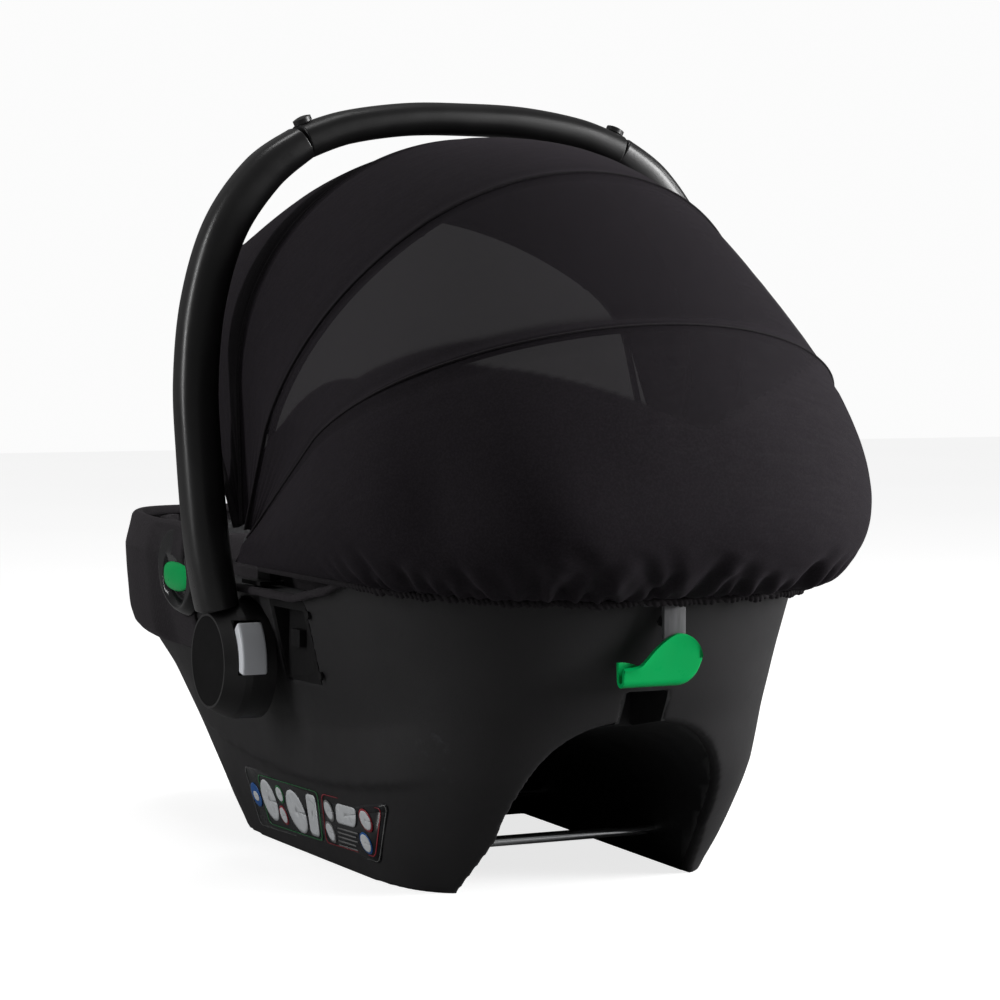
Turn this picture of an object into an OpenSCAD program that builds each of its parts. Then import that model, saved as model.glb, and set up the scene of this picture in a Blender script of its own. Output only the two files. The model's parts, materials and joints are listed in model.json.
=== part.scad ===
// Infant car seat carrier: a moulded shell on an arched base, a swinging carry handle with
// push-button hubs, a folding canopy on wire bows, a foam lined seat with a harness, and a
// sprung release lever on the back that draws in the two adapter latches.
// X runs across the seat (+X is the child's left), Y from the foot end to the head end, Z up.
// Modules are drawn about the handle's hinge line; place() moves them to the part's own frame.

/* [Shell] */
// Half-width of the base on the floor
base_half_w = 123; // [118:1:126]
// Half-width of the shell at its side rim
rim_half_w = 177; // [175:1:178]
// Wall thickness of the shell
wall = 4; // [3:0.5:5]
// Height of the side rim beside the handle
rim_z = 205; // [203:1:206]

/* [Arch under the base] */
// Half-width of the arch at the floor, rear end
arch_half_w = 91; // [88:1:93]
// Height of the arch at the rear end
arch_z = 109; // [106:1:110]
// Height of the arch at its front wall
arch_front_z = 50; // [46:1:52]
// Radius of the two steel cross bars
bar_r = 3.75; // [3.5:0.25:4]
// Height of the cross bars
bar_z = 26; // [24:1:30]

/* [Handle] */
// Height of the handle's hinge line
hub_z = 149; // [148:1:150]
// Radius of the hub drum
hub_r = 43; // [42:0.5:44]
// Outer face of the hub cap
hub_x = 205; // [204:0.5:206]
// Radius of the hinge bolt
bolt_r = 6; // [5:0.5:6]
// Half-length of the hand grip
grip_half = 130; // [120:1:134]

/* [Canopy] */
// Height of the canopy pivots
canopy_z = 233; // [231:1:234]
// Radius of the bow wire
wire_r = 2.5; // [2:0.25:3]
// Radius of the canopy pivot pins
pin_r = 4; // [3:0.5:4]

/* [Seat] */
// Thickness of the padded cover
cover_t = 11; // [9:1:11]
// Thickness of the newborn insert
insert_t = 18; // [14:1:19]
// Width of the harness webbing
web_w = 36; // [32:1:38]

/* [Hidden] */

$fn = 48;
ring_n = 48;         // points round the shell
hub_y = -6.7;         // the handle's hinge line in the part's frame
widest_y = 20;       // where the shell is widest
gap = 0.4;           // clearance between neighbouring solids
run = 0.05;          // radial clearance of a running fit
canopy_y = 15;       // canopy pivots, behind the hinge line
steel = [0.72, 0.73, 0.75];
black = [0.07, 0.07, 0.08];
fabric = [0.13, 0.12, 0.14];
green = [0.05, 0.45, 0.2];
grey = [0.62, 0.63, 0.65];

// Shell levels: height, front reach, rear reach, squareness of the front and of the rear
shell_levels = [[0, -185, 193, 6, 5], [40, -224, 232, 5, 4], [80, -262, 262, 4.6, 3.5],
                [127, -312, 281, 4.5, 3], [140, -344, 288, 4.6, 2.9], [165, -358, 297, 4.7, 2.8],
                [205, -360, 309, 4.6, 2.8], [240, -358, 320, 4.2, 2.8], [300, -354, 331, 4, 2.8],
                [345, -352, 334, 4, 2.8]];
// Side view of the rim, from the foot end to the head end
rim_line = [[-400, 230], [-250, 230], [-190, 222], [-110, rim_z + 3], [-60, rim_z],
            [100, rim_z], [150, 214], [200, 234], [250, 268], [290, 306], [315, 322], [400, 325]];
// Seat hollow: place along Y, floor height, half-width, height of its top edge
seat_rows = [[-334, 218, 114, 231], [-300, 186, 136, 231], [-250, 148, 146, 230],
             [-200, 114, 148, 224], [-150, 88, 150, 212], [-100, 76, 151, 206],
             [-50, 84, 152, 205], [0, 98, 152, 205], [50, 115, 152, 205], [100, 134, 152, 205],
             [150, 156, 148, 214], [200, 182, 141, 234], [250, 216, 128, 268],
             [290, 254, 102, 306], [312, 296, 68, 322]];

// ---- shapes that repeat ----

function last(list) = len(list) - 1;
function pick(list, x, k, i = 0) = // value k of the row at place x, between the rows given
    i >= last(list) - 1 || x <= list[i + 1][0]
    ? let(a = list[i], b = list[i + 1], t = (x - a[0]) / (b[0] - a[0])) a[k] + (b[k] - a[k]) * t
    : pick(list, x, k, i + 1);
function powered(v, p) = sign(v) * pow(abs(v), p);
function unit(v) = v / norm(v);
function spline(p, i, t) = // smooth curve through the points p, span i, 0 <= t <= 1
    let(a = p[max(0, i - 1)], b = p[i], c = p[i + 1], d = p[min(last(p), i + 2)])
    0.5 * (2 * b + (c - a) * t + (2 * a - 5 * b + 4 * c - d) * t * t
           + (3 * b - a - 3 * c + d) * t * t * t);
function smooth(p, steps) = concat(
    [for (i = [0 : last(p) - 1], k = [0 : steps - 1]) spline(p, i, k / steps)], [p[last(p)]]);

module place() { translate([0, hub_y, 0]) children(); }
module both() { for (side = [0, 1]) mirror([side, 0, 0]) children(); }
module across(x0, x1, r) { translate([x0, 0, 0]) rotate([0, 90, 0]) cylinder(h = x1 - x0, r = r); }

// Closed solid through rings of points, each ring going the same way round
module loft(rings) {
    m = len(rings[0]);
    n = len(rings);
    polyhedron(points = [for (ring = rings, p = ring) p], convexity = 8, faces = concat(
        [[for (i = [0 : m - 1]) i]], [[for (i = [m - 1 : -1 : 0]) (n - 1) * m + i]],
        [for (j = [0 : n - 2], i = [0 : m - 1]) [j * m + i, j * m + m + i, j * m + m + (i + 1) % m]],
        [for (j = [0 : n - 2], i = [0 : m - 1])
            [j * m + i, j * m + m + (i + 1) % m, j * m + (i + 1) % m]]));
}
// Thin sheet between an outer and an inner grid of points, with a strip round its edge
module sheet(outer, inner) {
    m = len(outer[0]);
    n = len(outer);
    k = m * n;
    edge = concat([for (i = [0 : m - 2]) i], [for (j = [0 : n - 2]) j * m + m - 1],
        [for (i = [m - 1 : -1 : 1]) (n - 1) * m + i], [for (j = [n - 1 : -1 : 1]) j * m]);
    polyhedron(points = concat([for (r = outer, p = r) p], [for (r = inner, p = r) p]), convexity = 8,
        faces = concat(
            [for (j = [0 : n - 2], i = [0 : m - 2]) each let(a = j * m + i)
                [[a, a + m, a + m + 1], [a, a + m + 1, a + 1],
                 [k + a, k + a + m + 1, k + a + m], [k + a, k + a + 1, k + a + m + 1]]],
            [for (e = [0 : last(edge)]) each let(a = edge[e], b = edge[(e + 1) % len(edge)])
                [[a, b, k + b], [a, k + b, k + a]]]));
}
// Round or flattened bar swept along a path in the X-Z plane: rows of x, z, half-width, half-depth
module swept_bar(rows, sides = 12) {
    loft([for (j = [0 : last(rows)])
        let(a = rows[max(0, j - 1)], b = rows[min(last(rows), j + 1)],
            d = unit([b[0] - a[0], b[1] - a[1]]))
        [for (i = [0 : sides - 1]) let(u = rows[j][2] * powered(cos(360 * i / sides), 0.9),
            v = rows[j][3] * powered(sin(360 * i / sides), 0.9))
            [rows[j][0] + d[1] * u, v, rows[j][1] - d[0] * u]]]);
}
// Coil spring along Z
module coil(r, wire, length, turns) {
    steps = 8 * turns;
    loft([for (j = [0 : steps]) let(a = 45 * j, z = length * j / steps)
        [for (i = [0 : 4]) let(b = -72 * i)
            [(r + wire * cos(b)) * cos(a), (r + wire * cos(b)) * sin(a), z + wire * sin(b)]]]);
}

// ---- the shell's own surface ----

function half_w(z) = let(f = z / rim_z) base_half_w + (rim_half_w - base_half_w) * min(f, 1.06)
    + 3 * sin(180 * min(f, 1));
function shell_ring(z, inset, n = ring_n) = [for (i = [0 : n - 1]) shell_point(z, inset, 360 * i / n)];
function shell_point(z, inset, a) =
    let(rear = sin(a) > 0, e = 2 / pick(shell_levels, z, rear ? 4 : 3),
        reach = rear ? pick(shell_levels, z, 2) - widest_y : widest_y - pick(shell_levels, z, 1))
    [(half_w(z) - inset) * powered(cos(a), e),
     widest_y + (reach - inset) * powered(sin(a), e), z];
// The whole solid, from the height low up; it is lofted from below the floor and cut flat there
module shell_loft(inset, low = 0, n = ring_n) {
    heights = concat([-12], [for (row = shell_levels) if (row[0] > 0) row[0]]);
    intersection() {
        loft([for (z = heights) shell_ring(z, inset, n)]);
        translate([-250, -450, low]) cube([500, 900, 500]);
    }
}
// The shell's solid between two of its levels
module shell_slab(inset, low, high) {
    loft([for (row = shell_levels) if (row[0] >= low && row[0] <= high) shell_ring(row[0], inset)]);
}
module below_rim(drop = 0) {
    rotate([90, 0, 90]) linear_extrude(height = 420, center = true)
        polygon(concat([[400, -5], [-400, -5]], [for (p = rim_line) [p[0], p[1] - drop]]));
}

// ---- arch under the base ----

arch_front_y = -110;
arch_lean = 8;       // how far its walls lean in before the curve starts
arch_under = 12;     // how far its solid is carried below the floor
function arch_ring(y, grow) =
    let(f = (y - arch_front_y) / (193 - arch_front_y), low = arch_front_z + (arch_z - arch_front_z) * f,
        w = 106 + (arch_half_w - 106) * f, foot = w + grow + arch_lean * arch_under / (0.35 * low))
    concat([[-foot, y, -arch_under]],
        [for (a = [-90 : 15 : 90]) [(w - arch_lean + grow) * powered(sin(a), 0.75),
            y, 0.35 * low + (0.65 * low + grow) * powered(cos(a), 0.75)]],
        [[foot, y, -arch_under]]);
module arch_solid(grow) {
    intersection() {
        loft([for (y = [arch_front_y - 20, 60, 330]) arch_ring(y, grow)]);
        translate([-150, arch_front_y - grow, -30]) cube([300, 420, 250]);
    }
}

channel_w = 32;
channel_top = 147;
module channel_solid(grow) {
    translate([-channel_w / 2 - grow, 236 - grow, 118])
        cube([channel_w + 2 * grow, 90, channel_top - 118 + grow]);
}

// ---- shell and base ----

boss_x = 153;        // hinge boss, inner and outer faces
boss_end = 167;
boss_r = 50;
socket_x = 158;      // adapter socket: back, rear edge of its near end, length, foot and height
socket_y = 45;
socket_l = 61;
socket_z = 140;
socket_h = 59;
latch_w = 16;
latch_h = 12;
module latch_block(x0, x1, grow) {
    translate([x0, socket_y + (socket_l - latch_w) / 2 - grow, socket_z + 25 - grow])
        cube([x1 - x0, latch_w + 2 * grow, latch_h + 2 * grow]);
}
module socket_screw_pair() {
    for (z = [147, 190]) translate([0, socket_y + socket_l + 6, z])
        across(half_w(z) - 2.5, half_w(z) - 0.4, 3);
}
module socket_block(grow) {
    translate([socket_x - grow, socket_y - grow, socket_z - grow])
        cube([40, socket_l + 2 * grow, socket_h + 2 * grow]);
}
module shell() {
    color(black) place() difference() {
        union() {
            difference() {
                intersection() { shell_loft(0); below_rim(); }
                shell_loft(wall, low = wall);
            }
            both() translate([0, 0, hub_z]) across(boss_x, boss_end, boss_r);
        }
        arch_solid(wall);
        channel_solid(3);
        both() {
            translate([0, 0, hub_z]) across(boss_end, 200, hub_r + 3);
            translate([0, 0, hub_z]) across(140, 170, bolt_r);
            socket_block(0);
            socket_screw_pair();
        }
    }
}
module tunnel_liner() {
    color(black) place() difference() {
        intersection() { arch_solid(wall); shell_loft(0); }
        arch_solid(0);
        channel_solid(3);
        for (y = [140, -60]) translate([0, y, bar_z]) across(-110, 110, bar_r);
    }
}
module lever_channel() {
    color(black) place() difference() {
        intersection() { channel_solid(3); shell_slab(0, 80, 165); }
        channel_solid(0);
        arch_solid(0);
    }
}
module cross_bar(y, half) {
    color(steel) place() translate([0, y, bar_z]) across(-half, half, bar_r);
}
module rear_bar() { cross_bar(140, 89.5); }
module front_bar() { cross_bar(-60, 97); }

// ---- foam and fabric of the seat ----

function seat_section(row, inset, top) = concat(
    [[-row[2] + inset, row[0], top], [row[2] - inset, row[0], top]],
    [for (a = [0 : 15 : 180]) [(row[2] - inset) * powered(cos(a), 0.66), row[0],
        row[3] - (row[3] - row[1] - inset) * powered(sin(a), 0.66)]]);
function seat_at(y) = [y, pick(seat_rows, y, 1), pick(seat_rows, y, 2), pick(seat_rows, y, 3)];
module seat_hollow(inset, y0, y1) {
    rows = concat([seat_at(y0)], [for (row = seat_rows) if (row[0] > y0 + 4 && row[0] < y1 - 4) row],
        [seat_at(y1)]);
    loft([for (row = rows) seat_section(row, inset, 420)]);
}
function on_seat(x, y, lift) =  // a point above the seat's floor
    let(row = seat_at(y), f = min(1, abs(x) / (row[2] - lift)))
    [x, y, row[3] - (row[3] - row[1] - lift) * pow(1 - pow(f, 3), 1 / 3)];

module epp_liner() {
    color([0.2, 0.2, 0.21]) place() difference() {
        intersection() { shell_loft(wall + 1, low = 25, n = 40); below_rim(2); }
        seat_hollow(0, -334, 312);
        arch_solid(wall + gap);
        channel_solid(3 + gap);
        both() {
            socket_block(gap);
            translate([0, 0, hub_z]) across(140, 180, boss_r + 1);
            latch_block(152.6, 160, gap);
        }
    }
}
module seat_cover() {
    color(fabric) place() intersection() {
        difference() {
            seat_hollow(0.5, -333, 310);
            seat_hollow(cover_t, -326, 300);
            translate([-3, -202, 0]) cube([6, 8, 200]);
        }
        below_rim(-6);
    }
}
module foot_cover() {
    color(fabric) place() difference() {
        intersection() {
            loft([for (z = [142, 165, 205, 240, 244]) shell_ring(z, z > 142 ? -4 : -1)]);
            translate([-250, -500, 142]) cube([500, 500 - 130, 103]);
        }
        loft([for (z = [127, 140, 165, 205, 240, 255]) shell_ring(z, -gap)]);
        both() belt_block(gap);
    }
}
module newborn_insert() {
    color([0.2, 0.2, 0.22]) place() intersection() {
        difference() {
            seat_hollow(cover_t + gap, -235, 120);
            seat_hollow(cover_t + insert_t, -236, 121);
            translate([-22, -212, 0]) cube([44, 30, 300]);
        }
        translate([-112, -300, 0]) cube([224, 600, 176]);
    }
}
module head_support() {
    color([0.2, 0.2, 0.22]) place() intersection() {
        difference() {
            seat_hollow(cover_t + gap, 132, 285);
            seat_hollow(cover_t + 32, 150, 262);
            translate([-60, 140, 0]) cube([120, 120, 236]);
        }
        translate([-150, 100, 0]) cube([300, 300, 262]);
    }
}
module rim_band() {
    count = 60;
    color(fabric) place() difference() {
        loft([for (j = [0 : count]) let(a = -6 + 192 * j / count,
                y = shell_point(rim_z, 0, a)[1], z = pick(rim_line, y, 1) - 3.6,
                c = shell_point(z, -3.6, a), out = unit([c[0], c[1] - widest_y]))
            [for (i = [0 : 7]) c + 3 * [out[0] * cos(45 * i), out[1] * cos(45 * i), sin(45 * i)]]]);
        both() belt_block(gap);
    }
}

// ---- harness ----

// Flat strap over the seat: rows of x, y, lift above the floor; the strap is t thick
module strap(rows, w, t) {
    loft([for (r = rows) let(p = on_seat(r[0], r[1], r[2]))
        [p + [w / 2, 0, 0], p + [w / 2, 0, t], p + [-w / 2, 0, t], p + [-w / 2, 0, 0]]]);
}
strap_lift = cover_t + insert_t + 1;
shoulder_rows = smooth([[44, 124, strap_lift + 4], [42, 60, strap_lift + 3], [40, 0, strap_lift + 3],
    [36, -50, strap_lift + 3], [26, -75, strap_lift + 21]], 3);
module shoulder_strap_left() { color(fabric) place() strap(shoulder_rows, web_w, 2); }
module shoulder_strap_right() { mirror([1, 0, 0]) shoulder_strap_left(); }
module shoulder_pad_left() {
    color([0.17, 0.17, 0.19]) place()
        strap([for (y = [118 : -14 : 6]) [43, y, strap_lift + 6.5]], 54, 9);
}
module shoulder_pad_right() { mirror([1, 0, 0]) shoulder_pad_left(); }
module hip_strap() {
    rows = [for (k = [0 : 11]) on_seat(116 - 8 * k, -104 + k, strap_lift + 2 + 0.18 * k * k)];
    loft([for (p = rows) [p - [0, 15, 0], p + [0, 15, 0], p + [0, 15, 2], p + [0, -15, 2]]]);
}
module hip_straps() { color(fabric) place() both() hip_strap(); }
module crotch_strap() {
    color(fabric) place()
        strap([[0, -196, 22], [0, -186, strap_lift], [0, -160, strap_lift + 6]], web_w, 2);
}
module crotch_pad() {
    color([0.17, 0.17, 0.19]) place()
        strap([[0, -210, strap_lift + 2], [0, -186, strap_lift + 4], [0, -163, strap_lift + 10]], 56, 7);
}
buckle_z = 125;
module rounded_box(size, r) {
    hull() for (x = [r, size[0] - r], y = [r, size[1] - r])
        translate([x, y, 0]) cylinder(h = size[2], r = r, $fn = 24);
}
module buckle_body() {
    color(black) place() difference() {
        translate([-24, -158, buckle_z]) rounded_box([48, 58, 19], 8);
        translate([-14, -146, buckle_z + 8]) cube([28, 24, 20]);
        translate([-19, -108, buckle_z + 6]) cube([38, 20, 7]);
    }
}
module buckle_button() {
    color([0.65, 0.05, 0.04]) place() translate([-13.6, -145.6, buckle_z + 11.5])
        rounded_box([27.2, 23.2, 9], 3);
}
module buckle_tongues() {
    color(steel) place() both() translate([1, -107, buckle_z + 8]) cube([16, 26, 2.5]);
}
module adjuster_frame() {
    row = seat_at(-272);
    translate([0, -272, row[1] + cover_t + 1]) rotate([-37, 0, 0]) children();
}
module adjuster_body() {
    color(black) place() adjuster_frame() difference() {
        translate([-25, -20, 0]) rounded_box([50, 40, 8], 8);
        translate([-12, -8, 3]) cube([24, 24, 20]);
    }
}
module adjuster_button() {
    color(grey) place() adjuster_frame() translate([-11.6, -7.6, 5.5]) rounded_box([23.2, 23.2, 6], 3);
}
module adjuster_strap() {
    color(fabric) place() strap([for (y = [-296 : -6 : -326]) [0, y, cover_t + 3]], 26, 2);
}

// ---- carry handle ----

arm_rows = smooth([[195, 176, 14, 19], [200, 200, 15, 19], [206, 240, 15.5, 18], [211, 300, 15.5, 17],
    [213, 353, 15.5, 16.5], [207, 410, 15.5, 16.5], [190, 463, 15.5, 16.5], [161, 503, 15, 16.5],
    [grip_half, 526, 13, 16.5]], 4);
grip_rows = smooth([[grip_half - 0.2, 526.2, 13, 17.5], [96, 538, 12.5, 18.5], [48, 545.5, 12.2, 19.5],
    [0, 547, 12, 20], [-48, 545.5, 12.2, 19.5], [-96, 538, 12.5, 18.5],
    [-grip_half + 0.2, 526.2, 13, 17.5]], 3);
module handle_arm_left() {
    color(black) place() difference() {
        swept_bar(arm_rows, 14);
        translate([0, 0, hub_z]) across(150, 240, hub_r);
    }
}
module handle_arm_right() { mirror([1, 0, 0]) handle_arm_left(); }
module handle_grip() { color([0.06, 0.06, 0.06]) place() swept_bar(grip_rows, 14); }
module handle_rest_feet() {
    color(black) place() both() translate([grip_half - 7, 0, 528.6]) rotate([0, 25, 0])
        translate([0, 0, 13.4]) {
            cylinder(h = 3.5, r = 7);
            translate([0, 0, 3.5]) intersection() {
                translate([0, 0, -16]) sphere(17.4);
                cylinder(h = 4, r = 7);
            }
        }
}
button_w = 20;
button_x = 176;
button_h = 38;
module hub() {
    difference() {
        translate([0, 0, hub_z]) rotate([0, 90, 0]) rotate_extrude() polygon([
            [bolt_r + run, 176], [12, 176], [12, 192], [hub_r - 5, 192], [hub_r - 5, 168],
            [hub_r, 168], [hub_r, 186], [hub_r - 1, 191], [hub_r - 3.5, 196], [34.6, hub_x],
            [32.8, hub_x], [32.8, hub_x - 3.5], [10.5, hub_x - 3.5], [10.5, 197], [bolt_r + run, 197]]);
        translate([button_x - 0.3, 20, hub_z - 7.3]) cube([button_w + 0.6, 40, button_h + 0.6]);
    }
}
module hub_left() { color(black) place() hub(); }
module hub_right() { mirror([1, 0, 0]) hub_left(); }
module hub_caps() {
    color([0.05, 0.05, 0.06]) place() both() translate([0, 0, hub_z]) across(hub_x - 3.4, hub_x, 32.6);
}
module memory_button_left() {
    color(grey) place() intersection() {
        difference() {
            translate([0, 0, hub_z]) across(button_x, button_x + button_w, hub_r + 3.5);
            translate([0, 0, hub_z]) across(button_x - 1, button_x + button_w + 1, hub_r - 9);
        }
        translate([button_x, 25, hub_z - 7]) cube([button_w, 30, button_h]);
    }
}
module memory_button_right() { mirror([1, 0, 0]) memory_button_left(); }
module button_springs() {
    color(steel) place() both() translate([button_x + 8, 13.5, hub_z + 9]) rotate([-90, 0, 0])
        coil(5, 0.7, 16, 4);
}
module ratchet_rings() {
    color(steel) place() both() translate([boss_end, 0, hub_z]) rotate([0, 90, 0]) difference() {
        union() {
            cylinder(h = 7.5, r = 30);
            for (k = [0 : 19]) rotate(18 * k) translate([28, -2.4, 0]) cube([5, 4.8, 7.5]);
        }
        translate([0, 0, -1]) cylinder(h = 10, r = bolt_r);
    }
}
module pivot_bolts() {
    color(steel) place() both() translate([0, 0, hub_z]) {
        across(boss_x, 198, bolt_r);
        across(198, 201, 10);
    }
}

// ---- adapter sockets on the sides ----

module adapter_socket() {
    difference() {
        intersection() { socket_block(0); shell_slab(0.5, 127, 205); }
        translate([socket_x + 4, socket_y + 5, socket_z - 1]) cube([40, socket_l - 10, socket_h - 6]);
        latch_block(socket_x - 1, socket_x + 10, gap / 2);
    }
}
module adapter_socket_left() { color([0.04, 0.04, 0.05]) place() adapter_socket(); }
module adapter_socket_right() { mirror([1, 0, 0]) adapter_socket_left(); }
module adapter_latch_left() { color(steel) place() latch_block(socket_x + 0.5, socket_x + 9, 0); }
module adapter_latch_right() { mirror([1, 0, 0]) adapter_latch_left(); }
module socket_screws() { color(steel) place() both() socket_screw_pair(); }

// ---- release lever on the back ----

lever_y = 318;
lever_z = 214;
module lever_bracket() {
    color([0.3, 0.3, 0.31]) place() difference() {
        union() {
            translate([-16, 300, lever_z - 8]) cube([32, 13.6, 14]);
            for (x = [-14, 10]) translate([x, 300, lever_z - 6]) cube([4, 21.5, 12]);
        }
        shell_slab(0, 205, 240);
        translate([0, lever_y, lever_z]) across(-20, 20, 2);
    }
}
module lever_pin() { color(steel) place() translate([0, lever_y, lever_z]) across(-15, 15, 2); }
// Scooped paddle: a round plate that runs out to a curled tip on one side
paddle_outline = smooth([[-12, -2], [-24, -9], [-29, -22], [-24, -35], [-10, -43], [12, -46],
    [32, -48], [40, -46], [41, -36], [36, -32], [28, -31], [12, -17], [-2, -5], [-12, -2]], 2);
module release_lever() {
    color(green) place() translate([0, lever_y, lever_z]) {
        translate([0, 0, -12]) rotate([90, 0, 0]) linear_extrude(height = 4, center = true)
            polygon([for (i = [last(paddle_outline) : -1 : 1]) paddle_outline[i]]);
        for (i = [0 : 3]) translate([-14 + 13 * i, -10 + 0.6 * i, -58.5 + 0.3 * i]) cube([15, 10, 3.5]);
        translate([38, -10, -57]) cube([3, 10, 12]);
    }
    color([0.3, 0.3, 0.31]) place() translate([-9, lever_y, lever_z]) difference() {
        union() {
            translate([0, -1.5, -26]) cube([16, 3, 24]);
            translate([1, 0, 0]) across(0, 15, 4);
        }
        across(-1, 20, 2 + run);
    }
}
module lever_spring() {
    color(steel) place() translate([-1, lever_y - 9.2, lever_z - 18]) rotate([-90, 0, 0])
        coil(4, 0.6, 7, 3);
}

// ---- canopy ----

// Each bow: lean from upright towards the head end, half-width, rise of its arch, length of its
// legs, and the place of its flat end tabs across the seat
bows = [[63, 188.8, 165.8, 180, 177.5], [36, 184.8, 217.8, 104, 175],
        [2, 183.8, 173.8, 119, 172.5], [-32, 181.8, 119, 175, 170]];
tab_t = 2;
tab_l = 48;
// A three-centred arch of half-width w and rise b: its side arcs and its top arc meet at 45 degrees
function arch_step(w, b) = (b - w) / (1 - sqrt(2));      // top radius less side radius
function side_r(w, b) = w - arch_step(w, b) * cos(45);
function top_r(w, b) = side_r(w, b) + arch_step(w, b);
module at_pivot() { translate([0, canopy_y, canopy_z]) children(); }
module wire_arc(r, x, z, start, sweep) {
    translate([x, 0, z]) rotate([90, 0, 0]) rotate(start) rotate_extrude(angle = sweep)
        translate([r, 0]) circle(wire_r, $fn = 20);
}
module bow(k) {
    lean = bows[k][0];
    w = bows[k][1];
    b = bows[k][2];
    leg = bows[k][3];
    tab = bows[k][4];
    color(steel) place() at_pivot() rotate([-lean, 0, 0]) difference() {
        union() {
            wire_arc(top_r(w, b), 0, leg - arch_step(w, b) * sin(45), 45, 90);
            both() {
                wire_arc(side_r(w, b), w - side_r(w, b), leg, 0, 45);
                translate([tab, 0, tab_l]) rotate([0, atan((w - tab) / (leg - tab_l)), 0])
                    cylinder(h = norm([w - tab, leg - tab_l]), r = wire_r);
                translate([tab - tab_t / 2, -5, 0]) cube([tab_t, 10, tab_l + 6]);
                across(tab - tab_t / 2, tab + tab_t / 2, 8);
                translate([w, 0, leg]) sphere(wire_r + 0.6);
                translate([w - side_r(w, b) * (1 - cos(45)), 0, leg + side_r(w, b) * sin(45)])
                    sphere(wire_r + 0.6);
            }
        }
        both() across(tab - 4, tab + 4, pin_r + run);
    }
}
module bow_rear() { bow(0); }
module bow_mid() { bow(1); }
module bow_front() { bow(2); }
module bow_visor() { bow(3); }
module canopy_brackets() {
    color(black) place() both() difference() {
        union() {
            translate([158, canopy_y - 12, rim_z]) cube([9, 24, canopy_z - rim_z]);
            at_pivot() across(158, 167, 12);
            translate([158, canopy_y - 18, rim_z]) cube([19, 36, 3]);
        }
        at_pivot() across(150, 190, pin_r);
    }
}
module canopy_pins() {
    color(steel) place() both() at_pivot() { across(157, 179, pin_r); across(179, 180.4, 6.5); }
}
cloth_t = 1.2;
leg_steps = 4;
arc_steps = 20;
fabric_x = 184;      // where the fabric meets the pivots
fabric_low = 16;     // where its legs start, out from the pivot
// Outline of a bow of half-width w, rise b and legs up to leg, as points across and out
function arch_outline(w, b, leg, foot) = concat(
    [for (k = [0 : leg_steps - 1]) [foot, fabric_low] + ([w, leg] - [foot, fabric_low]) * k / leg_steps],
    [for (k = [0 : arc_steps]) let(a = 180 * k / arc_steps, x = w - side_r(w, b)) [0, leg] + (
        a < 45 ? [x, 0] + side_r(w, b) * [cos(a), sin(a)]
        : a > 135 ? [-x, 0] + side_r(w, b) * [cos(a), sin(a)]
        : [0, -arch_step(w, b) * sin(45)] + top_r(w, b) * [cos(a), sin(a)])],
    [for (k = [leg_steps - 1 : -1 : 0])
        [-foot, fabric_low] + ([-w, leg] - [-foot, fabric_low]) * k / leg_steps]);
// The fabric's line over a bow, out from its wire
function arch_points(bow, out) =
    [for (p = arch_outline(bow[1] + out, bow[2] + out, bow[3], fabric_x - outer_out + out))
        [p[0], canopy_y + p[1] * sin(bow[0]), canopy_z + p[1] * cos(bow[0])]];
inner_out = wire_r + 0.9;
outer_out = inner_out + cloth_t;
module panel(k, steps) {
    from = bows[k];
    to = bows[k + 1];
    rows = [for (j = [0 : steps]) let(f = (j + (j == 0 ? 0.02 : 0) - (j == steps ? 0.02 : 0)) / steps)
        from * (1 - f) + to * f];
    color(fabric) place() sheet([for (r = rows) arch_points(r, outer_out)],
        [for (r = rows) arch_points(r, inner_out)]);
}
module canopy_mid_panel() { panel(0, 5); }
module canopy_top_panel() { panel(1, 5); }
module canopy_visor_panel() { panel(2, 5); }
// Rear panel: from the rear bow out over the head end and in to the hem
hem_z = 212;
hem_out = 12;       // how far the hem stands off the shell
lever_room = 3.5;    // and how much more it stands off behind the release lever's hinge
function hem_point(s, out) = let(p = shell_point(hem_z, -out - lever_room * pow(sin(180 * s), 8), 180 * s))
    [p[0], p[1], hem_z + 10 * pow(abs(cos(180 * s)), 3)];
function rear_row(f, thin) =
    let(top = arch_points(bows[0] + [0.3, 0, 0, 0, 0], outer_out - thin), n = last(top))
    [for (i = [0 : n]) let(s = i / n, p = top[i], h = hem_point(s, hem_out - thin), mid = (p + h) / 2,
        out = unit([mid[0], mid[1] - widest_y]), bulge = 6 + 98 * pow(sin(180 * s), 1.2),
        c = mid + bulge * [out[0], out[1], 0] - [0, 0, 60 * sin(180 * s)])
        p * (1 - f) * (1 - f) + 2 * c * f * (1 - f) + h * f * f];
module canopy_rear_panel() {
    color(fabric) place()
        sheet([for (j = [0 : 8]) rear_row(j / 8, 0)], [for (j = [0 : 8]) rear_row(j / 8, cloth_t)]);
}
module hem_elastic() {
    color(fabric) place() loft([for (j = [0 : 48]) let(s = 0.04 + 0.92 * j / 48,
            p = hem_point(s, hem_out - 0.6) - [0, 0, 3.2], out = unit([p[0], p[1] - widest_y]))
        [for (i = [0 : 5]) p + 2.5 * [out[0] * cos(60 * i), out[1] * cos(60 * i), sin(60 * i)]]]);
}

// ---- belt guides at the foot end, and stickers ----

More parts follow.
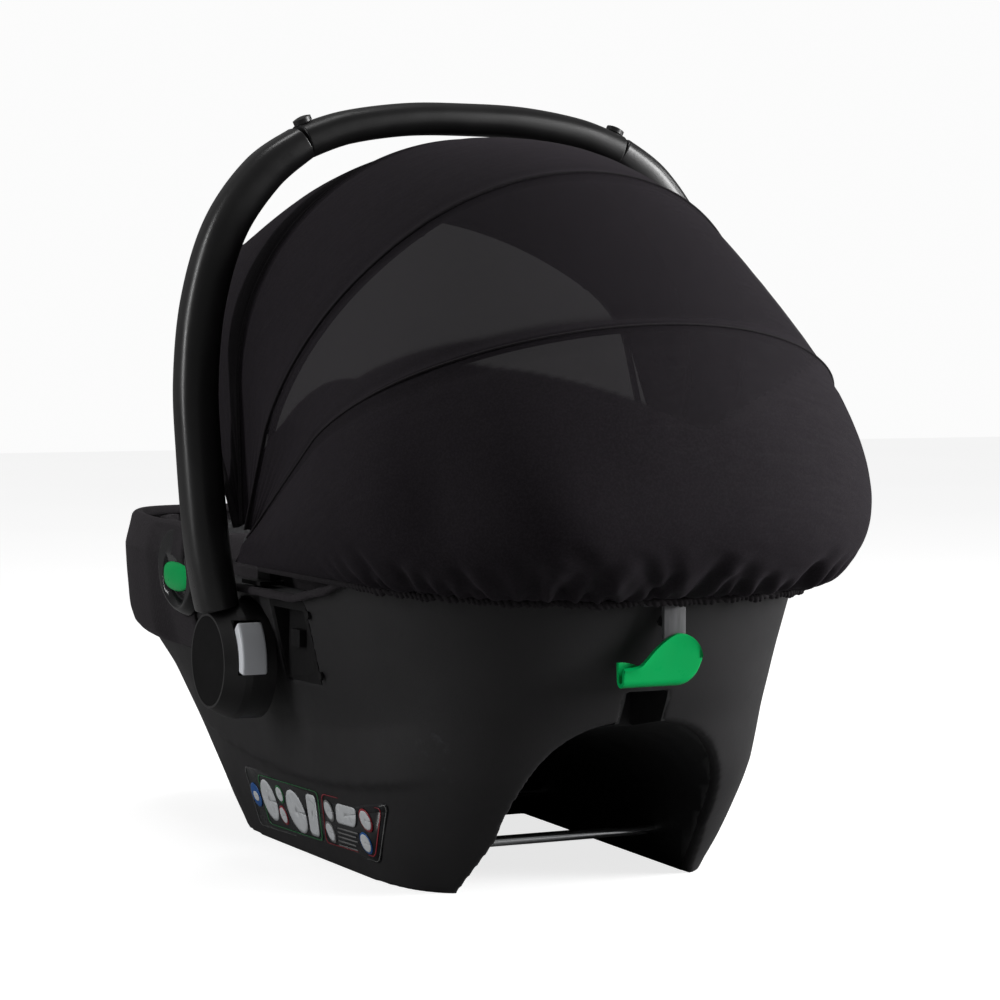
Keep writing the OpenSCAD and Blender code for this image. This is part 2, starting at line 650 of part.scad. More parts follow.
belt_y = -135;
belt_z = 212;
module belt_block(grow) {
    translate([150 - grow, belt_y - 42 - grow, belt_z - 35 - grow])
        cube([40, 84 + 2 * grow, 71 + 2 * grow]);
}
module belt_housing_left() {
    color([0.05, 0.05, 0.06]) place() difference() {
        intersection() {
            translate([0, belt_y, belt_z]) rotate([0, 90, 0]) scale([0.86, 1, 1])
                translate([0, 0, 171.5]) cylinder(h = 9, r = 40);
            translate([100, -300, 0]) cube([100, 300, 236]);
        }
        translate([173.5, belt_y - 29, belt_z - 20]) cube([20, 58, 34]);
        shell_slab(-0.9, 165, 240);
    }
}
module belt_housing_right() { mirror([1, 0, 0]) belt_housing_left(); }
module belt_guides() {
    color(green) place() both() difference() {
        translate([0, belt_y, belt_z - 2]) across(174, 183, 27);
        translate([160, belt_y - 60, belt_z - 2]) cube([40, 120, 60]);
        translate([160, belt_y - 60, belt_z - 60]) cube([40, 120, 40.4]);
        shell_slab(-1.2, 165, 240);
    }
}
module side_stickers() {
    color([0.04, 0.04, 0.05]) place() intersection() {
        difference() { shell_slab(-0.5, 0, 80); shell_slab(0, 0, 80); }
        both() rotate([90, 0, 90]) linear_extrude(height = 220)
            polygon([[-95, 14], [-88, 8], [132, 14], [140, 22], [166, 58], [160, 64], [-96, 56],
                [-101, 50]]);
    }
}

shell();
tunnel_liner();
lever_channel();
rear_bar();
front_bar();
epp_liner();
seat_cover();
foot_cover();
newborn_insert();
head_support();
rim_band();
shoulder_strap_left();
shoulder_strap_right();
shoulder_pad_left();
shoulder_pad_right();
hip_straps();
crotch_strap();
crotch_pad();
buckle_body();
buckle_button();
buckle_tongues();
adjuster_body();
adjuster_button();
adjuster_strap();
handle_arm_left();
handle_arm_right();
handle_grip();
handle_rest_feet();
hub_left();
hub_right();
hub_caps();
memory_button_left();
memory_button_right();
button_springs();
ratchet_rings();
pivot_bolts();
adapter_socket_left();
adapter_socket_right();
adapter_latch_left();
adapter_latch_right();
socket_screws();
release_lever();
lever_bracket();
lever_pin();
lever_spring();
canopy_brackets();
canopy_pins();
bow_rear();
bow_mid();
bow_front();
bow_visor();
canopy_rear_panel();
canopy_mid_panel();
canopy_top_panel();
canopy_visor_panel();
hem_elastic();
belt_housing_left();
belt_housing_right();
belt_guides();
side_stickers();
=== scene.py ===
"""Looks of the infant car seat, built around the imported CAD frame.

Shapes are worked out in millimetres about the handle's hinge line, as the design does, and
to_frame() moves them into the part's frame in metres. Each piece and material has its function.
"""
import json
import math

import bmesh
import bpy
import numpy as np
from mathutils import Matrix, Vector


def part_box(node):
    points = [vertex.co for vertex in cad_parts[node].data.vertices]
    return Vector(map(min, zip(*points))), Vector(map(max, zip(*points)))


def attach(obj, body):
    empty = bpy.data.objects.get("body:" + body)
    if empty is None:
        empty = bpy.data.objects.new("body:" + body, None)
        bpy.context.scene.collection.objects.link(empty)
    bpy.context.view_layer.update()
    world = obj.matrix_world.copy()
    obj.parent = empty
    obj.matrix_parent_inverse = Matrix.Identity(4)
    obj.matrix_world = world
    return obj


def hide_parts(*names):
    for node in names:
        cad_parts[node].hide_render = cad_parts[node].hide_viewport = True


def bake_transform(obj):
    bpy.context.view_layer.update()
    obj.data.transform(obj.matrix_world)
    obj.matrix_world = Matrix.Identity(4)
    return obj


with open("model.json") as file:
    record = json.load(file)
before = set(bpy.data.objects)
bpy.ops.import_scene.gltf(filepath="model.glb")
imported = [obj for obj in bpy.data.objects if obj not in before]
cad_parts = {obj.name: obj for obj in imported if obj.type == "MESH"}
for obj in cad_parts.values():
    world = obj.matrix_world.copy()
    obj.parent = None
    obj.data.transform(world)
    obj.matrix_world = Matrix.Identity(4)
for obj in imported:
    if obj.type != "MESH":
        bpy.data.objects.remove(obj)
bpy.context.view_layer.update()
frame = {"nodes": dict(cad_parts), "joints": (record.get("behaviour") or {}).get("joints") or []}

JOINTS = {j["name"]: j for j in frame["joints"]}
HINGE = Vector(JOINTS["handle_swing"]["pos_m"]) * 1000
PIVOT = Vector(JOINTS["canopy_fold"]["pos_m"]) * 1000
HINGE_Y, HUB_Z = HINGE.y, HINGE.z
CANOPY_Y, CANOPY_Z = PIVOT.y - HINGE_Y, PIVOT.z
GUIDES = [sum(c) * 500 for c in zip(*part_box("belt_guides"))]
BELT_Y, BELT_Z = GUIDES[1] - HINGE_Y, GUIDES[2] + 3
SEED = 11


def to_frame(points):
    """Millimetres about the hinge line to metres in the part's frame."""
    return (np.asarray(points, float) + np.array([0, HINGE_Y, 0])) * 0.001


# ---------------------------------------------------------------- the shell's own surface

RIM_Z, BASE_HALF_W, RIM_HALF_W, WALL, WIDEST_Y = 205, 123, 177, 4, 20
# height, front reach, rear reach, squareness of the front and of the rear
LEVELS = np.array([[0, -185, 193, 6, 5], [40, -224, 232, 5, 4], [80, -262, 262, 4.6, 3.5],
                   [127, -312, 281, 4.5, 3], [140, -344, 288, 4.6, 2.9], [165, -358, 297, 4.7, 2.8],
                   [205, -360, 309, 4.6, 2.8], [240, -358, 320, 4.2, 2.8], [300, -354, 331, 4, 2.8],
                   [345, -352, 334, 4, 2.8]], float)
RIM_LINE = np.array([[-400, 230], [-250, 230], [-190, 222], [-110, 208], [-60, 205], [100, 205],
                     [150, 214], [200, 234], [250, 268], [290, 306], [315, 322], [400, 325]], float)
# place along Y, floor height, half-width, height of the top edge of the seat hollow
SEAT_ROWS = np.array([[-334, 218, 114, 231], [-300, 186, 136, 231], [-250, 148, 146, 230],
                      [-200, 114, 148, 224], [-150, 88, 150, 212], [-100, 76, 151, 206],
                      [-50, 84, 152, 205], [0, 98, 152, 205], [50, 115, 152, 205],
                      [100, 134, 152, 205], [150, 156, 148, 214], [200, 182, 141, 234],
                      [250, 216, 128, 268], [290, 254, 102, 306], [312, 296, 68, 322]], float)


def powered(v, p):
    return np.sign(v) * np.abs(v) ** p


def smooth_step(x, low, high):
    t = np.clip((np.asarray(x, float) - low) / (high - low), 0, 1)
    return t * t * (3 - 2 * t)


def bell(x, middle, width):
    """1 at the middle, falling off to nothing over about twice the width."""
    return np.exp(-((x - middle) / width) ** 2)


def unit(v):
    """Each row of v at length 1."""
    return v / np.linalg.norm(v, axis=1)[:, None]


def around(sides):
    """Evenly spaced angles of a closed ring."""
    return np.arange(sides) * 2 * math.pi / sides


def arc_place(p):
    """Running length along each row, in millimetres."""
    d = np.linalg.norm(np.diff(p, axis=1), axis=2)
    return np.concatenate([np.zeros((len(p), 1)), np.cumsum(d, 1)], 1)


def run_down(p):
    """Running length down each column, in millimetres."""
    return arc_place(p.swapaxes(0, 1)).T


def column(rows, x, k):
    """The column k of rows at x, which is their first column."""
    return np.interp(x, rows[:, 0], rows[:, k])


def eased(rows, x, k):
    """The column k of rows at x, averaged over a short stretch so that its corners are soft."""
    reach = 9
    steps = (-reach, -reach / 2, 0, reach / 2, reach)
    return sum(column(rows, np.asarray(x, float) + d, k) for d in steps) / len(steps)


def half_width(z):
    """Half the shell's width at height z."""
    f = z / RIM_Z
    return BASE_HALF_W + (RIM_HALF_W - BASE_HALF_W) * np.minimum(f, 1.06) + 3 * np.sin(
        math.pi * np.clip(f, 0, 1))


def side_crease(y, z):
    """How far the side stands out: an upright band between two soft creases, tucked in below."""
    low = 66 + 0.0005 * (y - 25) ** 2
    high = 106 + 0.0005 * (y - 20) ** 2
    t = (z - low) / (high - low)
    band = 4.2 - 8.0 * np.clip(t, 0, 1)
    above = -3.8 * (1 - smooth_step(z, high - 4, high + 48))
    below = 0.8 + 3.4 * smooth_step(z, low - 3.0, low)
    d = np.where(t < 0, below, np.where(t > 1, above, band))
    return d * smooth_step(z, 2, 30) * (1 - smooth_step(y, 165, 240)) * smooth_step(y, -215, -150)


def shell_surface(z, a, inset):
    """Points of the shell at heights z and angles a in degrees, inset from its outside."""
    z, a = np.broadcast_arrays(np.asarray(z, float), np.asarray(a, float))
    rad = np.radians(a)
    s, c = np.sin(rad), np.cos(rad)
    rear = s > 0
    reach = np.where(rear, eased(LEVELS, z, 2) - WIDEST_Y, WIDEST_Y - eased(LEVELS, z, 1))
    e = 2 / np.where(rear, eased(LEVELS, z, 4), eased(LEVELS, z, 3))
    y = WIDEST_Y + (reach - inset) * powered(s, e)
    side = side_crease(y, z) * np.abs(c) ** 0.5
    x = (half_width(z) - inset + side) * powered(c, e)
    return np.stack([x, y, z], -1)


def shell_rings(inset, heights):
    """Rings of the shell at these heights; their points gather where its corners turn."""
    count = 220
    a = np.arange(count) * 360 / count
    return [shell_surface(z, a, inset) for z in heights]


# ---------------------------------------------------------------- making meshes

def new_object(name, verts, faces, smooth=True):
    """Mesh object from points in millimetres about the hinge line."""
    mesh = bpy.data.meshes.new(name)
    mesh.from_pydata([tuple(v) for v in to_frame(verts)], [], [tuple(f) for f in faces])
    mesh.update()
    obj = bpy.data.objects.new(name, mesh)
    bpy.context.scene.collection.objects.link(obj)
    if smooth:
        mesh.shade_smooth()
    return obj


def loft(name, rings, smooth=True):
    """Closed solid through rings of points."""
    m, n = len(rings[0]), len(rings)
    verts = np.concatenate([np.asarray(r, float) for r in rings])
    faces = [(j * m + i, j * m + (i + 1) % m, j * m + m + (i + 1) % m, j * m + m + i)
             for j in range(n - 1) for i in range(m)]
    faces += [tuple(range(m - 1, -1, -1)), tuple((n - 1) * m + i for i in range(m))]
    return outward(new_object(name, verts, faces, smooth))


def outward(obj, *steps):
    """Works the steps on obj's mesh, then turns its faces outwards."""
    bm = bmesh.new()
    bm.from_mesh(obj.data)
    for step in steps:
        step(bm)
    bmesh.ops.recalc_face_normals(bm, faces=bm.faces)
    bm.to_mesh(obj.data)
    bm.free()
    return obj


def faced(surface, k, direction):
    """Turns a surface over if its face k looks away from direction."""
    if surface.data.polygons[k].normal @ Vector(direction) < 0:
        surface.data.flip_normals()
    return surface


def grid(name, points):
    """Open surface through a table of points, rows by columns, with a UV in its own millimetres."""
    p = np.asarray(points, float)
    n, m = p.shape[:2]
    faces = [(j * m + i, j * m + i + 1, j * m + m + i + 1, j * m + m + i)
             for j in range(n - 1) for i in range(m - 1)]
    obj = new_object(name, p.reshape(-1, 3), faces)
    along = arc_place(p)
    along -= along[:, m // 2:m // 2 + 1]
    uv = np.stack([along, run_down(p)], -1).reshape(-1, 2) * 0.001
    layer = obj.data.uv_layers.new(name="UVMap")
    loops = np.zeros(len(obj.data.loops), np.int32)
    obj.data.loops.foreach_get("vertex_index", loops)
    layer.data.foreach_set("uv", uv[loops].astype(np.float32).ravel())
    return obj


def sheet_size(points):
    """Flat width, length and area of a cloth that has this surface, in metres."""
    p = np.asarray(points, float) * 0.001
    width = np.linalg.norm(np.diff(p, axis=1), axis=2).sum(1).max()
    length = np.linalg.norm(np.diff(p, axis=0), axis=2).sum(0).max()
    u, v = p[1:, :-1] - p[:-1, :-1], p[:-1, 1:] - p[:-1, :-1]
    w, x = p[1:, 1:] - p[:-1, 1:], p[1:, 1:] - p[1:, :-1]
    area = (np.linalg.norm(np.cross(u, v), axis=2) + np.linalg.norm(np.cross(w, x), axis=2)).sum() / 2
    return (round(float(width), 3), round(float(length), 3)), round(float(min(area, width * length)), 4)


def settled(obj):
    """Applies obj's modifiers."""
    graph = bpy.context.evaluated_depsgraph_get()
    mesh = bpy.data.meshes.new_from_object(obj.evaluated_get(graph))
    obj.modifiers.clear()
    obj.data = mesh
    return obj


def modifier(obj, kind, **settings):
    m = obj.modifiers.new(kind.lower(), kind)
    for key, value in settings.items():
        setattr(m, key, value)
    return obj


def thicken(obj, mm):
    modifier(obj, "SOLIDIFY", thickness=mm * 0.001, offset=-1)
    return settled(obj)


def rounded(obj, mm, segments, angle=30):
    modifier(obj, "BEVEL", width=mm * 0.001, segments=segments, limit_method="ANGLE",
             angle_limit=math.radians(angle))
    settled(obj)
    obj.data.shade_smooth()
    return obj


def combine(obj, other, how):
    """Joins, cuts or intersects obj with other, which is used up."""
    modifier(obj, "BOOLEAN", operation=how, object=other, solver="MANIFOLD")
    settled(obj)
    bpy.data.objects.remove(other)
    return obj


def cut(obj, other):
    return combine(obj, other, "DIFFERENCE")


def block(name, low, high):
    """Box between two corners, in millimetres."""
    (x0, y0, z0), (x1, y1, z1) = low, high
    verts = [(x, y, z) for x in (x0, x1) for y in (y0, y1) for z in (z0, z1)]
    faces = [(0, 1, 3, 2), (4, 6, 7, 5), (0, 4, 5, 1), (2, 3, 7, 6), (0, 2, 6, 4), (1, 5, 7, 3)]
    return outward(new_object(name, verts, faces, smooth=False))


def tube(name, path, radius, sides, flat=1.0):
    """Round cord along a path; radius may be a list."""
    path = np.asarray(path, float)
    radius = np.broadcast_to(radius, len(path))
    tangent = unit(np.gradient(path, axis=0))
    rings, side = [], np.cross(tangent[0], [0.3, 0.1, 1.0])
    for p, t, r in zip(path, tangent, radius):
        side = side - t * (side @ t)
        side /= np.linalg.norm(side)
        up = np.cross(t, side)
        a = around(sides)
        rings.append(p + r * (np.outer(np.cos(a), side) + flat * np.outer(np.sin(a), up)))
    return loft(name, rings)


def catmull(points, steps):
    """Smooth curve through the points, with so many steps from each to the next."""
    p = np.asarray(points, float)
    out = []
    for i in range(len(p) - 1):
        a, b, c, d = p[max(0, i - 1)], p[i], p[i + 1], p[min(len(p) - 1, i + 2)]
        for k in range(steps):
            t = k / steps
            out.append(0.5 * (2 * b + (c - a) * t + (2 * a - 5 * b + 4 * c - d) * t * t
                              + (3 * b - a - 3 * c + d) * t ** 3))
    return np.array(out + [p[-1]])


def mirrored(obj, name):
    """Copy of obj on the other side of the object's middle plane."""
    twin = obj.copy()
    twin.data = obj.data.copy()
    twin.name = name
    bpy.context.scene.collection.objects.link(twin)
    twin.data.transform(Matrix.Scale(-1, 4, (1, 0, 0)))
    twin.data.flip_normals()
    return twin


# ---------------------------------------------------------------- materials

def add_node(tree, kind, inputs=None, **settings):
    """New node; its inputs are linked where they are sockets and set where they are values."""
    n = tree.nodes.new(kind)
    for key, value in settings.items():
        setattr(n, key, value)
    for key, value in (inputs or {}).items():
        if isinstance(value, bpy.types.NodeSocket):
            tree.links.new(value, n.inputs[key])
        else:
            n.inputs[key].default_value = value
    return n


class Nodes:
    """A material's node tree, written from its Principled shader back."""

    def __init__(self, name, base, roughness, **sockets):
        """Sockets are named with _ for a space."""
        self.material = bpy.data.materials.new(name)
        self.material.use_nodes = True
        self.tree = self.material.node_tree
        self.shader = self.tree.nodes["Principled BSDF"]
        self.shader.inputs["Base Color"].default_value = (*base, 1)
        self.shader.inputs["Roughness"].default_value = roughness
        for key, value in sockets.items():
            self.shader.inputs[key.replace("_", " ")].default_value = value
        self.base = base
        self.height = None

    def node(self, kind, inputs=None, **settings):
        return add_node(self.tree, kind, inputs, **settings)

    def place(self, how="Object"):
        return self.node("ShaderNodeTexCoord").outputs[how]

    def noise(self, scale, detail=4.0, roughness=0.6, at=None, stretch=None):
        at = at or self.place()
        if stretch:
            at = self.node("ShaderNodeMapping", {"Vector": at, "Scale": stretch}).outputs[0]
        return self.node("ShaderNodeTexNoise", {"Vector": at, "Scale": scale, "Detail": detail,
                                                "Roughness": roughness}).outputs["Fac"]

    def ramp(self, value, *stops):
        n = self.node("ShaderNodeValToRGB", {"Fac": value})
        while len(n.color_ramp.elements) < len(stops):
            n.color_ramp.elements.new(0.5)
        for element, (place, colour) in zip(n.color_ramp.elements, stops):
            element.position = place
            element.color = (*colour, 1) if len(colour) == 3 else colour
        return n.outputs["Color"]

    def spread(self, value, low, high, out_low, out_high):
        return self.node("ShaderNodeMapRange", {
            "Value": value, "From Min": low, "From Max": high, "To Min": out_low,
            "To Max": out_high}).outputs["Result"]

    def math(self, how, a, b=0.0):
        return self.node("ShaderNodeMath", {0: a, 1: b}, operation=how).outputs[0]

    def mix(self, factor, a, b):
        n = self.node("ShaderNodeMix", data_type="RGBA")
        for socket, value in ((0, factor), (6, a), (7, b)):
            if isinstance(value, bpy.types.NodeSocket):
                self.tree.links.new(value, n.inputs[socket])
            elif socket:
                n.inputs[socket].default_value = (*value, 1)
            else:
                n.inputs[socket].default_value = value
        return n.outputs[2]

    def colour(self, socket):
        self.tree.links.new(socket, self.shader.inputs["Base Color"])
        return self

    def rough(self, value, low, high):
        """Roughness from low to high over the middle of a noise value."""
        self.tree.links.new(self.spread(value, 0.3, 0.7, low, high), self.shader.inputs["Roughness"])
        return self

    def tint(self, value, dark, light, low=0.3, high=0.7):
        """The base colour, times dark where value is low and times light where it is high."""
        return self.ramp(value, (low, shade(self.base, dark)), (high, shade(self.base, light)))

    def mask(self, value, low, high):
        return self.ramp(value, (low, BLACK), (high, WHITE))

    def edges(self, low, high, most):
        """How much of an outward edge a place is, up to most."""
        sharp = self.node("ShaderNodeNewGeometry").outputs["Pointiness"]
        return self.spread(sharp, low, high, 0.0, most)

    def bump(self, height, mm, strength=1.0):
        inputs = {"Height": height, "Distance": mm * 0.001, "Strength": strength}
        if self.height:
            inputs["Normal"] = self.height
        self.height = self.node("ShaderNodeBump", inputs).outputs["Normal"]
        self.tree.links.new(self.height, self.shader.inputs["Normal"])
        return self


BLACK, WHITE = (0, 0, 0), (1, 1, 1)


def shade(base, k):
    return tuple(min(1.0, c * k) for c in base)


def moulded(name, base, roughness, grain=900, depth=0.05, worn=1.5, gloss=0.3):
    """Moulded plastic: spark-eroded grain, cloudy colour, a little wear on its edges."""
    m = Nodes(name, base, roughness, Specular_IOR_Level=gloss)
    tint = m.tint(m.noise(9, 3), 0.82, 1.18)
    m.colour(m.mix(m.edges(0.53, 0.62, 0.35), tint, shade(base, worn)))
    m.rough(m.noise(30, 4), max(0.05, roughness - 0.06), min(1, roughness + 0.06))
    return m.bump(m.noise(grain, 3, 0.7), depth)


def shell_plastic():
    """The shell's matt plastic, with a painted highlight near its rear corner and fine scratches."""
    base = (0.0185, 0.0178, 0.0188)
    m = Nodes("shell_plastic", base, 0.56, Specular_IOR_Level=0.22)
    at = m.place()
    tint = m.tint(m.noise(7, 3, at=at), 0.85, 1.15, 0.25, 0.75)
    # patchy noise that breaks up the painted highlight by the rear corner
    highlight_mottle = m.mask(m.noise(16, 6, 0.75, at), 0.56, 0.8)
    # a painted highlight by the shell's rear corner, as a soft ball round a point
    corner = tuple(to_frame([[128, 236, 108]])[0])
    away = m.node("ShaderNodeVectorMath", {0: at, 1: corner}, operation="DISTANCE").outputs["Value"]
    near = m.spread(away, 0.008, 0.055, 1.0, 0.0)
    painted_highlight = m.math("MULTIPLY", highlight_mottle, near)
    streak = m.mask(m.noise(70, 2, 0.5, at, (0.25, 0.25, 6)), 0.7, 0.74)
    light_streak = m.math("MULTIPLY", streak, m.mask(m.noise(12, 2, at=at), 0.6, 0.66))
    # the painted highlight and the fine scratches, then the worn edges, all mixed to a lighter colour
    both = m.math("MAXIMUM", m.math("MULTIPLY", painted_highlight, 0.85), m.math("MULTIPLY", light_streak, 0.1))
    worn = m.math("MAXIMUM", both, m.edges(0.54, 0.64, 0.25))
    m.colour(m.mix(worn, tint, (0.075, 0.078, 0.085)))
    m.rough(m.noise(24, 5, at=at), 0.5, 0.62)
    m.bump(m.noise(620, 4, 0.75, at), 0.09)
    return m.bump(m.noise(60, 3, 0.5, at), 0.12, 0.5)


def woven(name, base, pitch, depth, roughness, sheen, fuzz=1.0, see=0.0, uv=True):
    """Woven cloth: warp and weft at a pitch in metres, uneven yarn, and a soft sheen."""
    m = Nodes(name, base, roughness, Sheen_Weight=sheen, Sheen_Roughness=0.45,
              Sheen_Tint=(*shade(base, 9), 1), Specular_IOR_Level=0.1)
    at = m.place("UV" if uv else "Object")
    turn = 2 * math.pi / pitch / 20
    wave = {"Vector": at, "Scale": turn, "Distortion": 0.6, "Detail": 1.0}
    warp, weft = [m.node("ShaderNodeTexWave", wave, wave_type="BANDS", bands_direction=way).outputs["Fac"]
                  for way in ("X", "Y" if uv else "Z")]
    thread = m.math("MAXIMUM", warp, weft)
    slub = m.noise(260, 3, 0.7, at, (0.12, 1, 1))
    tint = m.tint(m.noise(11, 4, 0.55), 0.86, 1.2, 0.3, 0.72)
    yarn = m.mix(m.math("MULTIPLY", m.math("MULTIPLY", thread, slub), 0.8), tint, shade(base, 1.9))
    heather = m.spread(m.noise(620, 3, 0.8), 0.42, 0.62, 0.0, 0.55)
    m.colour(m.mix(heather, yarn, shade(base, 2.3)))
    m.rough(slub, roughness - 0.08, min(1, roughness + 0.06))
    m.bump(thread, depth).bump(m.noise(420, 4, 0.8), 0.05 * fuzz)
    m.bump(m.noise(38, 4, 0.6), 0.35 * fuzz, 0.6)
    if see:
        # the thinner weave lets light through where the sheet's own "thin" value says so
        thin = m.node("ShaderNodeAttribute", {}, attribute_name="thin").outputs["Fac"]
        clear = m.node("ShaderNodeBsdfTransparent")
        mixed = m.node("ShaderNodeMixShader", {"Fac": m.math("MULTIPLY", thin, see)})
        m.tree.links.new(m.shader.outputs[0], mixed.inputs[1])
        m.tree.links.new(clear.outputs[0], mixed.inputs[2])
        m.tree.links.new(mixed.outputs[0], m.tree.nodes["Material Output"].inputs["Surface"])
    return m


def bead_foam():
    """Expanded foam: closed beads pressed flat against each other."""
    m = Nodes("bead_foam", (0.03, 0.03, 0.033), 0.7)
    cells = m.node("ShaderNodeTexVoronoi", {"Vector": m.place(), "Scale": 260.0}, feature="F1")
    away = cells.outputs["Distance"]
    m.colour(m.tint(away, 1.3, 0.6, 0.1, 0.6))
    m.rough(m.noise(50, 3), 0.62, 0.78)
    return m.bump(away, -0.3)


def metal(name, base, roughness, streaks=1.0):
    """Bright metal with drawn lines and light staining."""
    m = Nodes(name, base, roughness, Metallic=1.0)
    m.colour(m.tint(m.noise(18, 4), 0.85, 1))
    drawn = m.noise(500, 2, 0.5, stretch=(0.02, 1, 1))
    m.rough(drawn, max(0.03, roughness - 0.05 * streaks), roughness + 0.07 * streaks)
    return m.bump(drawn, 0.01 * streaks)


def green_plastic():
    m = Nodes("green_plastic", (0.0008, 0.36, 0.088), 0.3, Specular_IOR_Level=0.12)
    m.colour(m.tint(m.noise(14, 3), 0.92, 1.08))
    m.rough(m.noise(90, 4), 0.26, 0.36)
    return m.bump(m.noise(700, 3), 0.03)


def strut_plastic():
    """The lever's grey strut: brushed along its length, with one lighter line across it."""
    m = Nodes("strut_plastic", (0.085, 0.085, 0.09), 0.5)
    at = m.place()
    run = m.noise(160, 4, 0.6, at, (1, 1, 0.12))
    tint = m.tint(run, 0.6, 1.6, 0.3, 0.72)
    light_streak = m.mask(m.noise(120, 2, 0.5, at, (1.0, 1, -0.9)), 0.69, 0.72)
    m.colour(m.mix(m.math("MULTIPLY", light_streak, 0.6), tint, (0.35, 0.35, 0.36)))
    m.rough(run, 0.42, 0.6)
    return m.bump(run, 0.05)


def printed(name, base):
    """Printed film: a thin glossy coat over ink that isn't quite even."""
    m = Nodes(name, base, 0.28, Specular_IOR_Level=0.3)
    m.colour(m.tint(m.noise(60, 4), 0.9, 1.05))
    m.rough(m.noise(40, 3), 0.23, 0.35)
    return m.bump(m.noise(300, 3), 0.02)


DARK = (0.0075, 0.0072, 0.0076)
CHARCOAL = (0.0088, 0.0073, 0.0091)
MATERIALS = {
    "shell": shell_plastic(),
    "recess": moulded("recess_plastic", DARK, 0.6, 500, 0.05, gloss=0.12),
    "tunnel": moulded("tunnel_plastic", (0.010, 0.010, 0.0105), 0.6, 700, 0.06),
    "side": moulded("side_plastic", (0.012, 0.012, 0.0125), 0.45),
    "handle": moulded("handle_plastic", DARK, 0.33, 520, 0.03, gloss=0.5),
    "grip": moulded("grip_rubber", (0.0068, 0.0066, 0.0068), 0.42, 600, 0.06),
    "hub": moulded("hub_plastic", (0.011, 0.0105, 0.011), 0.4, 640, 0.05, gloss=0.45),
    "cap": moulded("cap_plastic", (0.0085, 0.0082, 0.0085), 0.7, 520, 0.1, worn=1.2, gloss=0.06),
    "button": moulded("button_plastic", (0.78, 0.8, 0.84), 0.4, 500, 0.03, worn=1.05),
    "red": moulded("buckle_red", (0.42, 0.012, 0.012), 0.35, 500, 0.03, worn=1.1),
    "glossy": moulded("glossy_black", (0.012, 0.012, 0.013), 0.2, 300, 0.02),
    "bracket": moulded("bracket_plastic", (0.05, 0.05, 0.053), 0.5),
    "strut": strut_plastic(),
    "green": green_plastic(),
    "foam": bead_foam(),
    "steel": metal("steel", (0.5, 0.51, 0.53), 0.35),
    "wire": metal("bow_wire", (0.3, 0.31, 0.33), 0.42),
    "chrome": metal("bar_chrome", (0.82, 0.83, 0.85), 0.14, 0.4),
    "canopy": woven("canopy_cloth", CHARCOAL, 0.0006, 0.05, 0.84, 0.2, 0.6),
    "canopy_thin": woven("canopy_thin_cloth", CHARCOAL, 0.0006, 0.05, 0.84, 0.2, 0.6, see=0.13),
    "seam": woven("seam_tape", (0.0115, 0.0102, 0.0115), 0.0009, 0.1, 0.82, 0.2),
    "cover": woven("cover_cloth", (0.016, 0.0145, 0.016), 0.0009, 0.1, 0.86, 0.3, uv=False),
    "insert": woven("insert_jersey", (0.03, 0.028, 0.032), 0.0011, 0.12, 0.9, 0.4, uv=False),
    "pad": woven("pad_cloth", (0.022, 0.021, 0.024), 0.001, 0.12, 0.88, 0.35, uv=False),
    "webbing": woven("webbing", (0.014, 0.0135, 0.015), 0.0022, 0.3, 0.62, 0.1),
    "label": printed("label_film", (0.012, 0.0125, 0.014)),
    "label_white": printed("label_white", (0.62, 0.64, 0.66)),
    "label_rule": printed("label_rule", (0.2, 0.2, 0.2)),
    "label_green": printed("label_green", (0.02, 0.16, 0.05)),
    "label_red": printed("label_red", (0.3, 0.018, 0.03)),
    "label_blue": printed("label_blue", (0.01, 0.09, 0.32)),
}


def paint(obj, material):
    obj.data.materials.clear()
    obj.data.materials.append(MATERIALS[material].material)
    return obj


def fit_out(obj, material, body, slot, *stands_for):
    """Paints a finished piece, rides it on its body and hides the CAD nodes it stands for."""
    paint(obj, material)
    if body:
        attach(obj, body)
    if stands_for:
        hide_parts(*stands_for)
    return obj


# ---------------------------------------------------------------- shell and tunnel

# the arch grows lower and wider from its front wall to the back, where the head end stands over it
ARCH_FRONT_Y, ARCH_BACK_Y, ARCH_LEAN = -110, 193, 8
ARCH_HEIGHTS, ARCH_HALF_WIDTHS, ARCH_SPRING = (50, 109), (106, 91), 0.35
BEYOND_X, BEYOND_Y = 260, 420
HUB_ROOM_R = 46


def arch_ring(y, grow):
    """Outline of the arch at y, larger all round by grow."""
    f = (y - ARCH_FRONT_Y) / (ARCH_BACK_Y - ARCH_FRONT_Y)
    top, w = [first + (last - first) * f for first, last in (ARCH_HEIGHTS, ARCH_HALF_WIDTHS)]
    a = np.radians(np.linspace(-90, 90, 41))
    under, spring = 12, ARCH_SPRING * top
    foot = w + grow + ARCH_LEAN * under / spring
    x = np.concatenate([[-foot], (w - ARCH_LEAN + grow) * powered(np.sin(a), 0.75), [foot]])
    rise = (1 - ARCH_SPRING) * top + grow
    z = np.concatenate([[-under], spring + rise * powered(np.cos(a), 0.75), [-under]])
    return np.stack([x, np.full_like(x, y), z], -1)


def arch_block(name, grow, front):
    return loft(name, [arch_ring(y, grow) for y in np.linspace(front, 345, 30)])


def above_rim(name):
    """Block of everything over the rim."""
    line = np.concatenate([[[-BEYOND_Y, BEYOND_Y]], catmull(RIM_LINE, 4), [[BEYOND_Y, BEYOND_Y]]])
    return loft(name, [[(x, y, z) for y, z in line] for x in (-BEYOND_X, BEYOND_X)], smooth=False)


def below_floor(z):
    return block("under", (-BEYOND_X, -BEYOND_Y, -20), (BEYOND_X, BEYOND_Y, z))


def round_bar(name, x0, x1, y, z, r):
    """Cylinder across the object."""
    sides = 64
    a = around(sides)
    return loft(name, [np.stack([np.full(sides, x), y + r * np.cos(a), z + r * np.sin(a)], -1)
                       for x in (x0, x1)], smooth=False)


